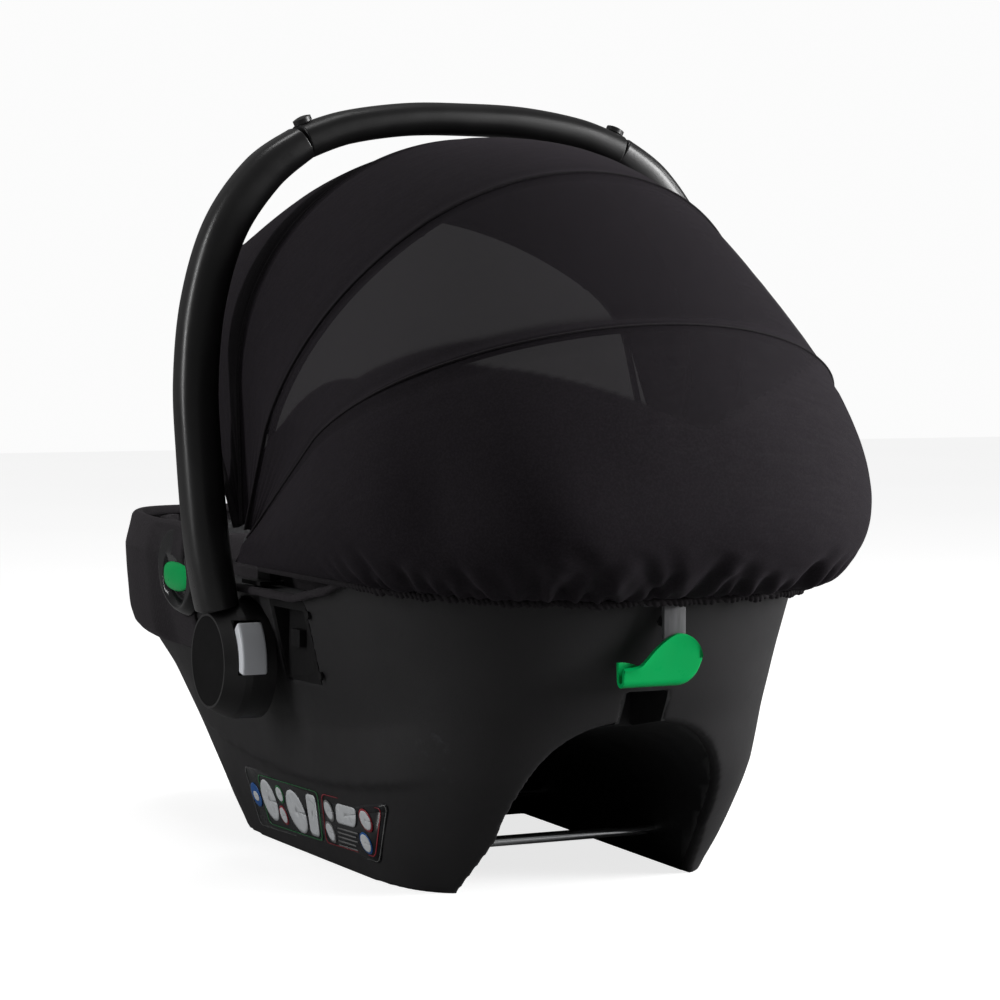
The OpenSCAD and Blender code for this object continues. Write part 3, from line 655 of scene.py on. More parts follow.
def shell_body():
    """One moulding: thin wall, arch rim turned in, recesses for hubs, sockets and the lever."""
    heights = np.concatenate([np.arange(-6, 206, 3.0), np.arange(209, 346, 8.0)])
    shell = loft("shell_body", shell_rings(0, heights))
    inside = loft("inside", shell_rings(WALL, np.concatenate([[4], heights[heights > 6]])))
    cut(shell, inside)
    lip = arch_block("lip", WALL, ARCH_FRONT_Y - WALL)
    combine(lip, loft("skin", shell_rings(0.5, heights)), "INTERSECT")
    cut(lip, loft("core", shell_rings(12, heights)))
    combine(shell, lip, "UNION")
    cut(shell, arch_block("arch", 0, ARCH_FRONT_Y))
    cut(shell, above_rim("over"))
    cut(shell, below_floor(0))
    for side in (1, -1):
        x0, x1 = sorted((side * 167, side * 215))
        cut(shell, round_bar("hub_room", x0, x1, 0, HUB_Z, HUB_ROOM_R))
        x0, x1 = sorted((side * 158, side * 215))
        cut(shell, block("socket_room", (x0, 45, 140), (x1, 106, 199)))
    cut(shell, block("notch", (-16, 236, 112), (16, 330, 147)))
    modifier(shell, "REMESH", mode="VOXEL", voxel_size=0.0021, adaptivity=0.0)
    modifier(shell, "SMOOTH", factor=0.5, iterations=5)
    settled(shell)
    shell.data.shade_smooth()
    return fit_out(shell, "shell", "carrier", "shell_plastic", "shell")


def tunnel():
    """The smooth wall of the arch, from just inside the shell's rim to its front wall."""
    heights = np.arange(-6, 240, 6.0)
    wall = arch_block("tunnel_wall", WALL, ARCH_FRONT_Y - WALL)
    cut(wall, arch_block("arch", 0.2, ARCH_FRONT_Y))
    combine(wall, loft("core", shell_rings(9, heights)), "INTERSECT")
    cut(wall, below_floor(0.3))
    cut(wall, block("notch", (-19, 233, 100), (19, 330, 170)))
    return fit_out(wall, "tunnel", "carrier", "shell_plastic", "tunnel_liner")


# ---------------------------------------------------------------- handle

ARM_ROWS = [[195, 176, 14, 19], [200, 200, 15, 19], [206, 240, 15.5, 18], [211, 300, 15.5, 17],
            [213, 353, 15.5, 16.5], [207, 410, 15.5, 16.5], [190, 463, 15.5, 16.5],
            [161, 503, 15, 16.5], [130, 526, 13, 16.5]]
GRIP_ROWS = [[129.8, 526.2, 13, 17.5], [96, 538, 12.5, 18.5], [48, 545.5, 12.2, 19.5], [0, 547, 12, 20],
             [-48, 545.5, 12.2, 19.5], [-96, 538, 12.5, 18.5], [-129.8, 526.2, 13, 17.5]]


def swept_bar(name, rows, squareness):
    """Bar of flattened oval section along rows of x, z, half-width, half-depth."""
    rows = np.asarray(rows)
    d = unit(np.gradient(rows[:, :2], axis=0))
    a = around(40)
    u, v = powered(np.cos(a), 2 / squareness), powered(np.sin(a), 2 / squareness)
    rings = [np.stack([x + dz * w * u, t * v, z - dx * w * u], -1)
             for (x, z, w, t), (dx, dz) in zip(rows, d)]
    return loft(name, rings)


def handle():
    """Two arms of flattened section, and a sleeve of softer plastic round the grip."""
    rows = catmull(ARM_ROWS, 14)
    hub_top = 186.5
    arm = swept_bar("handle_arm_near", rows[rows[:, 1] > hub_top], 2.7)
    rounded(arm, 1.2, 2)
    other = mirrored(arm, "handle_arm_far")
    fit_out(arm, "handle", "handle", "handle_plastic", "handle_arm_left")
    fit_out(other, "handle", "handle", "handle_plastic", "handle_arm_right")
    grip = swept_bar("grip_sleeve", catmull(GRIP_ROWS, 16), 2.5)
    rounded(grip, 1.4, 2)
    fit_out(grip, "grip", "handle", "grip_rubber", "handle_grip")


def memory_button(side, name, node):
    """Grey push button that wraps the drum: rounded edges, a flat face and a long side bevel."""
    # across, up from the hinge line, and out from it: a unit block bent round the drum
    x0, x1, z0, z1, r0, r1 = 176.3, 195.7, -7, 31, 36, 46.6
    low = to_frame([[x0, 0, 0]])[0]

    def divide(bm):
        bmesh.ops.subdivide_edges(bm, edges=bm.edges, cuts=4, use_grid_fill=True)

    def bend(bm):
        for v in bm.verts:
            r = r0 + (r1 - r0) * (v.co.y - low[1]) * 1000
            angle = math.asin((z0 + (z1 - z0) * v.co.z * 1000) / r1)
            y, z = r * math.cos(angle), HUB_Z + r * math.sin(angle)
            v.co = Vector(to_frame([[side * v.co.x * 1000, y, z]])[0])
    cube = outward(block(name, (x0, 0, 0), (x1, 1, 1)), divide, bend)
    rounded(cube, 2.2, 4)
    return fit_out(cube, "button", node, "button_plastic", node)


# ---------------------------------------------------------------- release lever

LEVER_Y, LEVER_Z = 318, 214


def lever_hook():
    """Green hook: a drop-shaped face, round at one end, that curls under and up into a short lip."""
    end_x, end_r, face_top, face_low, front = -6.5, 17.5, 188, 153.2, 3.6
    round_end = end_x - end_r * np.sin(np.linspace(0, 0.47 * math.pi, 26))
    x = np.concatenate([np.linspace(35, -6, 34), round_end])
    edge = catmull([[60, 164], [35, 165.2], [24, 166.6], [18, 171.4], [11.5, 178], [2, 185],
                    [-6.5, 188], [-16, 185]], 12)
    drop = end_r - np.sqrt(np.clip(end_r ** 2 - (x - end_x) ** 2, 0, None))
    drop = np.where(x < end_x, drop, 0)
    top = np.where(x < end_x, face_top - drop, np.interp(-x, -edge[:, 0], edge[:, 1]))
    low = face_low + drop
    rings = []
    for x_i, high, base in zip(x, top, low):
        r = min(5.0, 0.5 * (high - base))
        wall = min(2.8, 0.8 * r)
        lip = (0.8 + 10.7 * (1 - smooth_step(-x_i, -32, 2))) * r / 5
        g = np.linspace(0, 1, 20)
        face = np.stack([front + 1.5 * (1 - g) ** 3, high + (base + r - high) * g], -1)
        turn = math.pi * g[1:]
        curl = np.stack([front - r + r * np.cos(turn), base + r - r * np.sin(turn)], -1)
        up = np.stack([front - 2 * r - 0.05 * lip * g[1::3], base + r + lip * g[1::3]], -1)
        path = np.concatenate([face, curl, up])
        along = unit(np.gradient(path, axis=0))
        inner = path + wall * np.stack([along[:, 1], -along[:, 0]], -1)
        ring = np.concatenate([path, inner[::-1]])
        rings.append(np.stack([np.full(len(ring), x_i), LEVER_Y + ring[:, 0], ring[:, 1]], -1))
    hook = rounded(loft("lever_hook", rings), 0.9, 3, 50)
    fit_out(hook, "green", "release_lever", "release_green", "release_lever")
    strut = block("lever_strut", (-12.5, LEVER_Y - 1.8, LEVER_Z - 30), (4, LEVER_Y + 1.8, LEVER_Z - 1))
    rounded(strut, 0.6, 3)
    fit_out(strut, "strut", "release_lever", "bracket_plastic")
    knuckle = round_bar("lever_knuckle", -12, 4, LEVER_Y, LEVER_Z, 4)
    rounded(knuckle, 0.5, 2)
    fit_out(knuckle, "strut", "release_lever", "bracket_plastic")


# ---------------------------------------------------------------- canopy

# lean from upright towards the head end, half-width, rise and legs of each bow's cloth line
CLOTH_ROWS = np.array([[63, 193, 170, 180], [36, 189, 222, 104], [2, 188, 178, 119],
                       [-32, 186, 123, 175]], float)
FABRIC_X, FABRIC_LOW, CLOTH = 184, 16, 1.2
ARC_STEPS, LEG_STEPS = 300, 60


def arch_line(w, b, leg):
    """A three-centred arch with legs, as points across and out from the pivots."""
    step = (b - w) / (1 - math.sqrt(2))
    side, k = w - step * math.sqrt(0.5), step * math.sqrt(0.5)
    crown = side + step
    k_leg = np.arange(LEG_STEPS) / LEG_STEPS
    legs = np.stack([FABRIC_X + (w - FABRIC_X) * k_leg, FABRIC_LOW + (leg - FABRIC_LOW) * k_leg], -1)
    a = np.linspace(0, math.pi, ARC_STEPS + 1)
    x = np.where(a < math.pi / 4, w - side + side * np.cos(a),
                 np.where(a > 3 * math.pi / 4, side - w + side * np.cos(a), crown * np.cos(a)))
    z = np.where((a < math.pi / 4) | (a > 3 * math.pi / 4), side * np.sin(a), crown * np.sin(a) - k)
    arc = np.stack([x, leg + z], -1)
    return np.concatenate([legs, arc, (legs * [-1, 1])[::-1]])


def cloth_line(row):
    """Where the cloth lies over one bow."""
    lean, w, b, leg = row
    flat = arch_line(w, b, leg)
    s, c = math.sin(math.radians(lean)), math.cos(math.radians(lean))
    return np.stack([flat[:, 0], CANOPY_Y + flat[:, 1] * s, CANOPY_Z + flat[:, 1] * c], -1)


def waves(u, v, seed, count, u_scale, v_scale):
    """Smooth seeded bumps between -1 and 1 over a table of u and v."""
    rng = np.random.RandomState(seed)
    total = 0
    for _ in range(count):
        angle, phase = rng.uniform(-1, 1), rng.uniform(0, 2 * math.pi)
        total = total + np.sin(u_scale * rng.uniform(0.6, 1.6) * u + v_scale * angle * v + phase)
    return total / count


def surface_normals(p):
    """Outward unit normals of a table of points."""
    u, v = np.gradient(p, axis=1), np.gradient(p, axis=0)
    n = np.cross(v, u)
    n /= np.maximum(np.linalg.norm(n, axis=2), 1e-9)[..., None]
    centre = p.reshape(-1, 3).mean(0)
    outside = np.sign(((p - centre) * n).sum(2).mean())
    return n * (outside or 1)


def sewn(d):
    """A bow's sewn channel, at a distance d from it: a low ridge with a tuck beside it."""
    return 1.1 * bell(d, 0, 3.2) - 0.9 * bell(d, 8, 2.2)


def bow_panel(k, rows, seed):
    """Cloth between bow k and the next: taut, a little slack between them, sewn over each bow."""
    f = np.linspace(0.0, 1.0, rows)
    lines = np.stack([cloth_line(CLOTH_ROWS[k] * (1 - t) + CLOTH_ROWS[k + 1] * t) for t in f])
    n = surface_normals(lines)
    span = 150
    u, v = arc_place(lines), f[:, None] * span
    between = np.sin(math.pi * f)[:, None]
    slack = -3.4 * between * np.ones_like(u)
    channels = sewn(v) + sewn(span - v)
    folds = waves(u * 0.05, v * 0.04, seed, 5, 0.5, 1.0) * 0.9 * between ** 0.7
    leg = np.minimum(u, u[:, -1:] - u)
    pinch = waves(u * 0.02, v * 0.25, seed + 3, 4, 0.3, 1.3) * 2.0 * bell(leg, 0, 70) * between
    fine = waves(u * 0.3, v * 0.3, seed + 7, 6, 0.6, 0.9) * 0.12
    return lines + n * (slack + channels + folds + pinch + fine)[..., None]


HEM_Z, HEM_OUT, LEVER_ROOM = 212, 12, 3.5


def hem_line(s, out):
    """The hem round the head end, lifted at the pivots and eased out over the lever."""
    bump = LEVER_ROOM * np.sin(math.pi * s) ** 8
    p = shell_surface(np.full_like(s, HEM_Z), 180 * s, -out - bump)
    p[..., 2] = HEM_Z + 10 * np.abs(np.cos(math.pi * s)) ** 3
    return p


def level_out(p):
    """Level directions from the shell's middle to the points p."""
    out = p - [0, WIDEST_Y, 0]
    out[:, 2] = 0
    return unit(out)


def rear_panel_points():
    """Cloth from the rear bow out over the head end and in to the gathered hem."""
    rows = 80
    top = cloth_line(CLOTH_ROWS[0])
    n = len(top) - 1
    s = np.arange(n + 1) / n
    h = hem_line(s, np.full_like(s, HEM_OUT))
    mid = (top + h) / 2
    bulge = 6 + 98 * np.sin(math.pi * s) ** 1.2
    c = mid + bulge[:, None] * level_out(mid)
    c[:, 2] -= 60 * np.sin(math.pi * s)
    f = np.linspace(0, 1, rows)[:, None, None]
    p = top * (1 - f) ** 2 + 2 * c * f * (1 - f) + h * f ** 2
    return p, s, f[..., 0]


def gather_strength(s):
    """How much the hem is gathered: smooth near the pivots, full round the head end."""
    return smooth_step(s, 0.12, 0.2) * (1 - smooth_step(s, 0.8, 0.88))


def gathers(u, down, total):
    """Pinched folds that rise from the hem, each with its own place, length, lean and depth."""
    rng = np.random.RandomState(SEED)
    depth = np.zeros_like(u)
    place = 0.13 * total
    while place < 0.87 * total:
        head = math.sin(math.pi * place / total) ** 2
        length = rng.uniform(14, 26) + head * rng.uniform(8, 44)
        width = rng.uniform(1.7, 3.0) + 0.025 * length
        lean = rng.uniform(-0.55, 0.2)
        away = (u - place - lean * down) / (width * (1 + down / 60))
        fade = np.clip(1 - down / length, 0, 1) ** 0.6
        depth += -rng.uniform(2.4, 5.6) * bell(away, 0, 1) * fade
        depth += 2.2 * bell(away, 1.7, 1) * fade
        place += rng.uniform(6, 13) + 3 * (1 - head)
    return depth * (0.3 + 0.7 * smooth_step(down, 0, 9))


def rear_folds(p, s, f):
    """The rear panel with its gathers, its slack swells and its sewn upper channel."""
    u = arc_place(p)
    n = surface_normals(p)
    down = run_down(p[::-1])[::-1]
    strength = gather_strength(s)
    folds = gathers(u[-1] + 0 * u, down, u[-1, -1]) * strength
    puff = 2.2 * bell(down, 16, 12) * strength
    broad = waves(u * 0.016, f * 4, 3, 5, 1.0, 1.2) * 5.0 * np.sin(math.pi * f)
    dent = -11.0 * bell(s, 0.3, 0.045) * bell(f, 0.42, 0.26)
    swell = 5 * bell(s, 0.37 + 0.06 * f, 0.04) * bell(f, 0.5, 0.26)
    pull = waves(u * 0.05, f * 22, 15, 5, 0.25, 1.0) * 1.5 * bell(s, 0.09, 0.06) * np.sin(math.pi * f)
    pull = pull + pull[:, ::-1]
    fine = waves(u * 0.3, f * 60, 9, 6, 0.6, 0.9) * 0.12
    return p + n * (folds + puff + broad + dent + swell + pull + sewn(f * 200) + fine)[..., None]


def rear_thin(points):
    """Where the rear panel is a single layer: a wedge under its seam, over the opening inside."""
    u = arc_place(points)
    u = np.abs(u - u[:, -1:] / 2)
    return smooth_step(63 * (155 - u) / 125 - run_down(points), -2.5, 2.5)


def mid_thin(points):
    """The same on the panel above it: all but a strip along the rear seam that widens to the pivots."""
    u = arc_place(points[:1])[0]
    u = np.abs(u - u[-1] / 2)
    f = np.linspace(0, 1, len(points))[:, None]
    strip = np.interp(u, [0, 130, 226, 250, 285, 330], [0.03, 0.07, 0.2, 0.42, 0.67, 1.1])
    return smooth_step(f - strip[None], -0.03, 0.03)


def cloth_piece(name, points, thin):
    """Thin cloth through points; thin, if given, is how see-through it is at each of them."""
    piece = grid(name, points)
    if thin is not None:
        layer = piece.data.attributes.new("thin", "FLOAT", "POINT")
        layer.data.foreach_set("value", thin.astype(np.float32).ravel())
    outside = surface_normals(points)[points.shape[0] // 2, points.shape[1] // 2]
    piece.data.update()
    return thicken(faced(piece, len(piece.data.polygons) // 2, outside), CLOTH)


def canopy():
    """Four panels over four bows: the rear one is fixed, the others lie between two bows and ride on
    neither.
    """
    joined = [("carrier", "bow_mid"), ("bow_mid", "bow_front"), ("bow_front", "bow_visor")]
    names = ["canopy_mid_cloth", "canopy_top_cloth", "canopy_visor_cloth"]
    nodes = ["canopy_mid_panel", "canopy_top_panel", "canopy_visor_panel"]
    for k, (bodies, name, node) in enumerate(zip(joined, names, nodes)):
        points = bow_panel(k, 46, 31 + 5 * k)
        piece = cloth_piece(name, points, None if k else mid_thin(points))
        fit_out(piece, "canopy" if k else "canopy_thin", None, "canopy_fabric", node)
        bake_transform(piece)
    p, s, f = rear_panel_points()
    points = rear_folds(p, s, f)
    piece = cloth_piece("canopy_rear_cloth", points, rear_thin(points))
    fit_out(piece, "canopy_thin", "carrier", "canopy_fabric", "canopy_rear_panel")
    hem_ruffle(points[-1], s)
    for k, body in enumerate(["carrier", "bow_mid", "bow_front", "bow_visor"]):
        seam(k, body)


def seam(k, body):
    """The narrow taped channel that holds a bow: a flat ridge with a stitched edge."""
    line = cloth_line(CLOTH_ROWS[k])
    out = unit(line - [0, CANOPY_Y, CANOPY_Z])
    wide = 2.1 if k < 3 else 3.0
    piece = tube(f"canopy_seam_{k}", line + out * 0.35, wide, 10, flat=0.45)
    fit_out(piece, "seam", body, "canopy_fabric")


def hem_ruffle(edge, s):
    """The elastic hem: a narrow roll of cloth, puckered in short slanting tucks."""
    first, last, every = 0.02, 0.98, 34
    share = np.linspace(first, last, 50 * every)
    base = np.stack([np.interp(share, s, edge[:, i]) for i in range(3)], -1)
    base = catmull(base[::every], every)
    out = level_out(base)
    run = arc_place(base[None])[0]
    strength = gather_strength(np.linspace(first, last, len(base)))
    phase = run * 1.35 + 2.6 * np.sin(run * 0.13) + 1.7 * np.sin(run * 0.047 + 1)
    rings = []
    for a in around(18):
        tuck = np.abs(np.sin(0.5 * (phase + 2.4 * math.sin(a))))
        r = 2.0 + strength * (1.3 * tuck ** 0.7 - 0.35 + 0.45 * np.sin(run * 0.31 + 2))
        x = base + out * (r * math.cos(a) - 2.6)[:, None]
        x[:, 2] += 1.25 * r * math.sin(a) - 1.6
        rings.append(x)
    piece = loft("hem_ruffle", list(np.stack(rings, 1)))
    fit_out(piece, "seam", "carrier", "trim_fabric", "hem_elastic")


# ---------------------------------------------------------------- seat

def on_seat(x, y, lift):
    """Points over the seat's floor, lift above it."""
    floor, half, top = [column(SEAT_ROWS, y, k) for k in (1, 2, 3)]
    f = np.minimum(1, np.abs(x) / (half - lift))
    return np.stack(np.broadcast_arrays(x, y, top - (top - floor - lift) * (1 - f ** 3) ** (1 / 3)), -1)


def seat_cut(y, inset, rise):
    """Section of the seat hollow at y, from one top edge round the floor to the other."""
    count = 72
    floor, half, top = [eased(SEAT_ROWS, y, k) for k in (1, 2, 3)]
    a = np.linspace(0, math.pi, count)
    x = (half - inset) * powered(np.cos(a), 0.66)
    z = top - (top - floor - inset) * powered(np.sin(a), 0.66)
    lift = rise * np.clip(1 - np.sin(a) * 9, 0, 1)
    return np.stack([x, np.full(count, float(y)), z + lift], -1)


def thick_cover(name, y0, y1, outer_inset, inner_inset, rise, shape, rows=90):
    """Closed padded cover lying in the seat hollow, its inner face shaped by shape(y, a)."""
    ys = np.linspace(y0, y1, rows)
    shrink = (inner_inset - outer_inset) * 0.8
    outer = np.stack([seat_cut(y, outer_inset, rise) for y in ys])
    closer = (y1 - y0 - 2 * shrink) / (y1 - y0)
    inner = np.stack([seat_cut(y0 + shrink + (y - y0) * closer, inner_inset, rise) for y in ys])
    n = surface_normals(inner)
    n = n * np.where((n[..., 2:3].mean()) < 0, -1, 1)
    m = outer.shape[1]
    j, i = np.mgrid[0:rows, 0:m]
    inner = inner + n * shape(j / (rows - 1), i / (m - 1))[..., None]
    verts = np.concatenate([outer.reshape(-1, 3), inner.reshape(-1, 3)])
    k = rows * m
    faces = []
    for r in range(rows - 1):
        for c in range(m - 1):
            a, b, d, e = r * m + c, r * m + c + 1, r * m + m + c + 1, r * m + m + c
            faces += [(a, e, d, b), (k + a, k + b, k + d, k + e)]
    edge = (list(range(m - 1)) + [r * m + m - 1 for r in range(rows - 1)]
            + [(rows - 1) * m + c for c in range(m - 1, 0, -1)]
            + [r * m for r in range(rows - 1, 0, -1)])
    for a, b in zip(edge, edge[1:] + edge[:1]):
        faces.append((a, b, k + b, k + a))
    return outward(new_object(name, verts, faces))


def seat_cover():
    """Padded cover, quilted in wide cross channels with a sewn line round the torso."""
    def quilt(j, i):
        channels = np.abs(np.sin(math.pi * j * 9)) ** 0.5
        middle = smooth_step(i, 0.12, 0.2) * (1 - smooth_step(i, 0.8, 0.88))
        line = bell(i, 0.16, 0.008) + bell(i, 0.84, 0.008)
        return -1.8 * (1 - channels) * middle - 1.6 * line + 0.4 * np.sin(40 * i) * np.sin(31 * j)
    piece = thick_cover("seat_padding", -333, 310, 0.6, 10.6, 6, quilt)
    fit_out(piece, "cover", "carrier", "seat_fabric", "seat_cover")


def cloth_swell(obj, cap, pressure, voxel):
    """Blows up a closed pad with Blender's cloth, capped so that no point moves too far."""
    modifier(obj, "REMESH", mode="VOXEL", voxel_size=voxel)
    settled(obj)
    start = np.array([v.co for v in obj.data.vertices])
    frames = 20
    cloth = obj.modifiers.new("cloth", "CLOTH")
    settings = {"quality": 5, "mass": 0.3, "use_pressure": True, "uniform_pressure_force": pressure,
                "tension_stiffness": 12, "compression_stiffness": 12, "bending_stiffness": 0.6}
    for key, value in settings.items():
        setattr(cloth.settings, key, value)
    cloth.settings.effector_weights.gravity = 0
    cloth.collision_settings.use_self_collision = False
    cloth.point_cache.frame_start, cloth.point_cache.frame_end = 1, frames
    scene = bpy.context.scene
    for frame_number in range(1, frames + 1):
        scene.frame_set(frame_number)
    graph = bpy.context.evaluated_depsgraph_get()
    end = np.array([v.co for v in obj.evaluated_get(graph).data.vertices])
    obj.modifiers.clear()
    scene.frame_set(1)
    move = end - start
    far = np.linalg.norm(move, axis=1)
    move *= (np.minimum(far, cap * 0.001) / np.maximum(far, 1e-9))[:, None]
    obj.data.vertices.foreach_set("co", (start + move).astype(np.float32).ravel())
    obj.data.update()
    modifier(obj, "SMOOTH", factor=0.5, iterations=3)
    modifier(obj, "SUBSURF", levels=1, render_levels=1)
    settled(obj)
    obj.data.shade_smooth()
    return obj


def newborn_insert():
    """Quilted insert for the smallest babies, cut from one piece with a slot for the buckle."""
    def crown(j, i):
        rolls = np.abs(np.sin(math.pi * (j * 6 + 0.1))) ** 0.6
        return -2.0 + 1.6 * rolls * smooth_step(i, 0.1, 0.2) * (1 - smooth_step(i, 0.8, 0.9))
    piece = thick_cover("newborn_padding", -232, 117, 12.2, 28.4, 0, crown, 60)
    cut(piece, block("top", (-200, -300, 172), (200, 300, 400)))
    for side in (1, -1):
        x0, x1 = sorted((side * 110, side * 200))
        cut(piece, block("edge", (x0, -300, 0), (x1, 300, 400)))
    cut(piece, block("slot", (-20, -212, 0), (20, -182, 300)))
    cloth_swell(piece, 1.8, 3.0, 0.006)
    fit_out(piece, "insert", "carrier", "insert_fabric", "newborn_insert")


def head_support():
    """Soft horseshoe round the head."""
    def plain(_, i):
        return -1.5 * np.ones_like(i)
    piece = thick_cover("head_pillow", 136, 281, 12.4, 41, 0, plain, 40)
    cut(piece, block("middle", (-58, 132, 0), (58, 262, 240)))
    cut(piece, block("top", (-200, 100, 258), (200, 400, 420)))
    cloth_swell(piece, 4.0, 4.0, 0.006)
    fit_out(piece, "insert", "carrier", "insert_fabric", "head_support")


FOOT_LOW, FOOT_HIGH = [c.z * 1000 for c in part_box("foot_cover")]


def foot_cover():
    """Stretch cover over the foot end, rolled over the rim into the seat, with a piped lower edge."""
    a = np.linspace(185.5, 354.5, 220)
    low, high = FOOT_LOW + 2, FOOT_HIGH - 7
    z = np.linspace(low, high, 48)
    plump = np.interp((z - low) / (high - low), [0, 0.03, 0.1, 0.22, 0.36, 0.58, 0.82, 1],
                      [3.5, 8, 11.5, 11.5, 10, 8, 6, 4])
    rows = []
    for h, out in zip(z, plump):
        # flatter beside the belt housings, which are let into it
        flat = smooth_step(shell_surface(np.full_like(a, h), a, 0)[:, 1], BELT_Y - 62, BELT_Y - 38)
        rows.append(shell_surface(np.full_like(a, h), a, -(out * (1 - flat) + 2.4 * flat)))
    # its lower edge is drawn in under the shell's turn
    base = np.stack([shell_surface(np.full_like(a, low - 0.5), a, 2.0)] + rows)
    roll = []
    for t in np.linspace(0.15, 1, 10) * math.pi:
        turned = shell_surface(np.full_like(a, high), a, 1.4 - 5.4 * math.cos(t))
        roll.append(turned + [0, 0, 6.5 * math.sin(t)])
    points = np.concatenate([base, np.stack(roll)])
    u = arc_place(points)
    n = surface_normals(points)
    j = np.arange(len(points))[:, None] / (len(points) - 1)
    tucks = waves(u * 0.03, j * 5, 44, 5, 0.7, 1.4) * 0.7 + 0.5 * bell(j, 0, 0.03)
    points = points + n * tucks[..., None]
    piece = thicken(faced(grid("foot_cloth", points), 60, (0, -1, 0)), 2.4)
    fit_out(piece, "cover", "carrier", "seat_fabric", "foot_cover")
    flat, area = sheet_size(points)
    edge = tube("foot_piping", points[0] + n[0] * 0.4, 1.7, 10)
    fit_out(edge, "seam", "carrier", "trim_fabric")


def rim_roll():
    """Rolled binding along the rim, softly uneven."""
    a = np.linspace(-6, 186, 420)
    rim = shell_surface(np.full_like(a, RIM_Z), a, 0)
    a = a[rim[:, 1] > BELT_Y + 42]
    rim = rim[rim[:, 1] > BELT_Y + 42]
    z = column(RIM_LINE, rim[:, 1], 1) - 3.6
    c = shell_surface(z, a, -3.6)
    run = arc_place(c[None])[0]
    radius = 3.0 + 0.22 * np.sin(run * 0.19 + 1.5 * np.sin(run * 0.03)) + 0.12 * np.sin(run * 0.71)
    piece = tube("rim_binding", c, radius, 14)
    fit_out(piece, "cover", "carrier", "trim_fabric", "rim_band")


# ---------------------------------------------------------------- harness

COVER_T, INSERT_T = 11, 18
STRAP_LIFT = COVER_T + INSERT_T + 1


def strap(name, rows, width, thick, bow=0.0):
    """Flat woven strap along rows of x, y, lift: two edges slightly rounded, surface ribbed."""
    rows = catmull(rows, 8)
    centre = on_seat(rows[:, 0], rows[:, 1], rows[:, 2])
    across = np.linspace(-0.5, 0.5, 9)
    crown = bow * (1 - (2 * across) ** 2)
    top = centre[:, None, :] + np.stack([across * width, np.zeros(9), crown + thick], -1)[None]
    piece = faced(grid(name, top), 0, (0, 0, 1))
    modifier(piece, "SOLIDIFY", thickness=thick * 0.001, offset=-1)
    modifier(piece, "BEVEL", width=min(0.4, thick / 3) * 0.001, segments=2, limit_method="ANGLE",
             angle_limit=math.radians(50))
    return settled(piece)


def harness():
    """Shoulder and crotch straps with their pads, and the lap straps."""
    shoulder = [[44, 122, STRAP_LIFT + 4], [42, 60, STRAP_LIFT + 3], [40, 0, STRAP_LIFT + 3],
                [36, -50, STRAP_LIFT + 3], [26, -75, STRAP_LIFT + 21]]
    for side, name in ((1, "left"), (-1, "right")):
        rows = [[side * x, y, lift] for x, y, lift in shoulder]
        piece = strap(f"shoulder_web_{name}", rows, 36, 2)
        fit_out(piece, "webbing", "carrier", "webbing", f"shoulder_strap_{name}")
        pad_rows = [[side * 43, y, STRAP_LIFT + 7.4] for y in (116, 80, 44, 8)]
        pad = strap(f"shoulder_pad_soft_{name}", pad_rows, 50, 6.6, 1.0)
        cloth_swell(pad, 1.6, 4.0, 0.004)
        fit_out(pad, "pad", "carrier", "pad_fabric", f"shoulder_pad_{name}")
    crotch = strap("crotch_web", [[0, -196, 22], [0, -186, STRAP_LIFT], [0, -160, STRAP_LIFT + 6]], 36, 2)
    fit_out(crotch, "webbing", "carrier", "webbing", "crotch_strap")
    pad = strap("crotch_pad_soft", [[0, -208, STRAP_LIFT + 2.6], [0, -186, STRAP_LIFT + 4.4],
                                    [0, -165, STRAP_LIFT + 10]], 52, 5, 1.0)
    cloth_swell(pad, 1.2, 4.0, 0.004)
    fit_out(pad, "pad", "carrier", "pad_fabric", "crotch_pad")
    hips()


def hips():
    """Lap straps from the sides of the seat to the buckle."""
    k = np.linspace(0, 11, 40)
    centre = on_seat(116 - 8 * k, -104 + k, STRAP_LIFT + 2 + 0.18 * k * k)
    across = np.linspace(-15, 15, 7)
    pieces = []
    for side in (1, -1):
        top = centre[:, None, :] * [side, 1, 1] + np.stack([0 * across, across, 0 * across + 2], -1)[None]
        piece = grid("lap_web_left" if side > 0 else "lap_web_right", top)
        pieces.append(thicken(faced(piece, -3, (0, 0, 1)), 2))
    fit_out(pieces[0], "webbing", "carrier", "webbing", "hip_straps")
    fit_out(pieces[1], "webbing", "carrier", "webbing")


# ---------------------------------------------------------------- belt guides and stickers


def side_x(y, z):
    """Where the shell's side is at y and z."""
    rear = y > WIDEST_Y
    reach = np.where(rear, eased(LEVELS, z, 2) - WIDEST_Y, WIDEST_Y - eased(LEVELS, z, 1))
    n = np.where(rear, eased(LEVELS, z, 4), eased(LEVELS, z, 3))
    share = np.clip(1 - (np.abs(y - WIDEST_Y) / reach) ** n, 0, 1) ** (1 / n)
    return (half_width(z) + side_crease(y, z)) * share


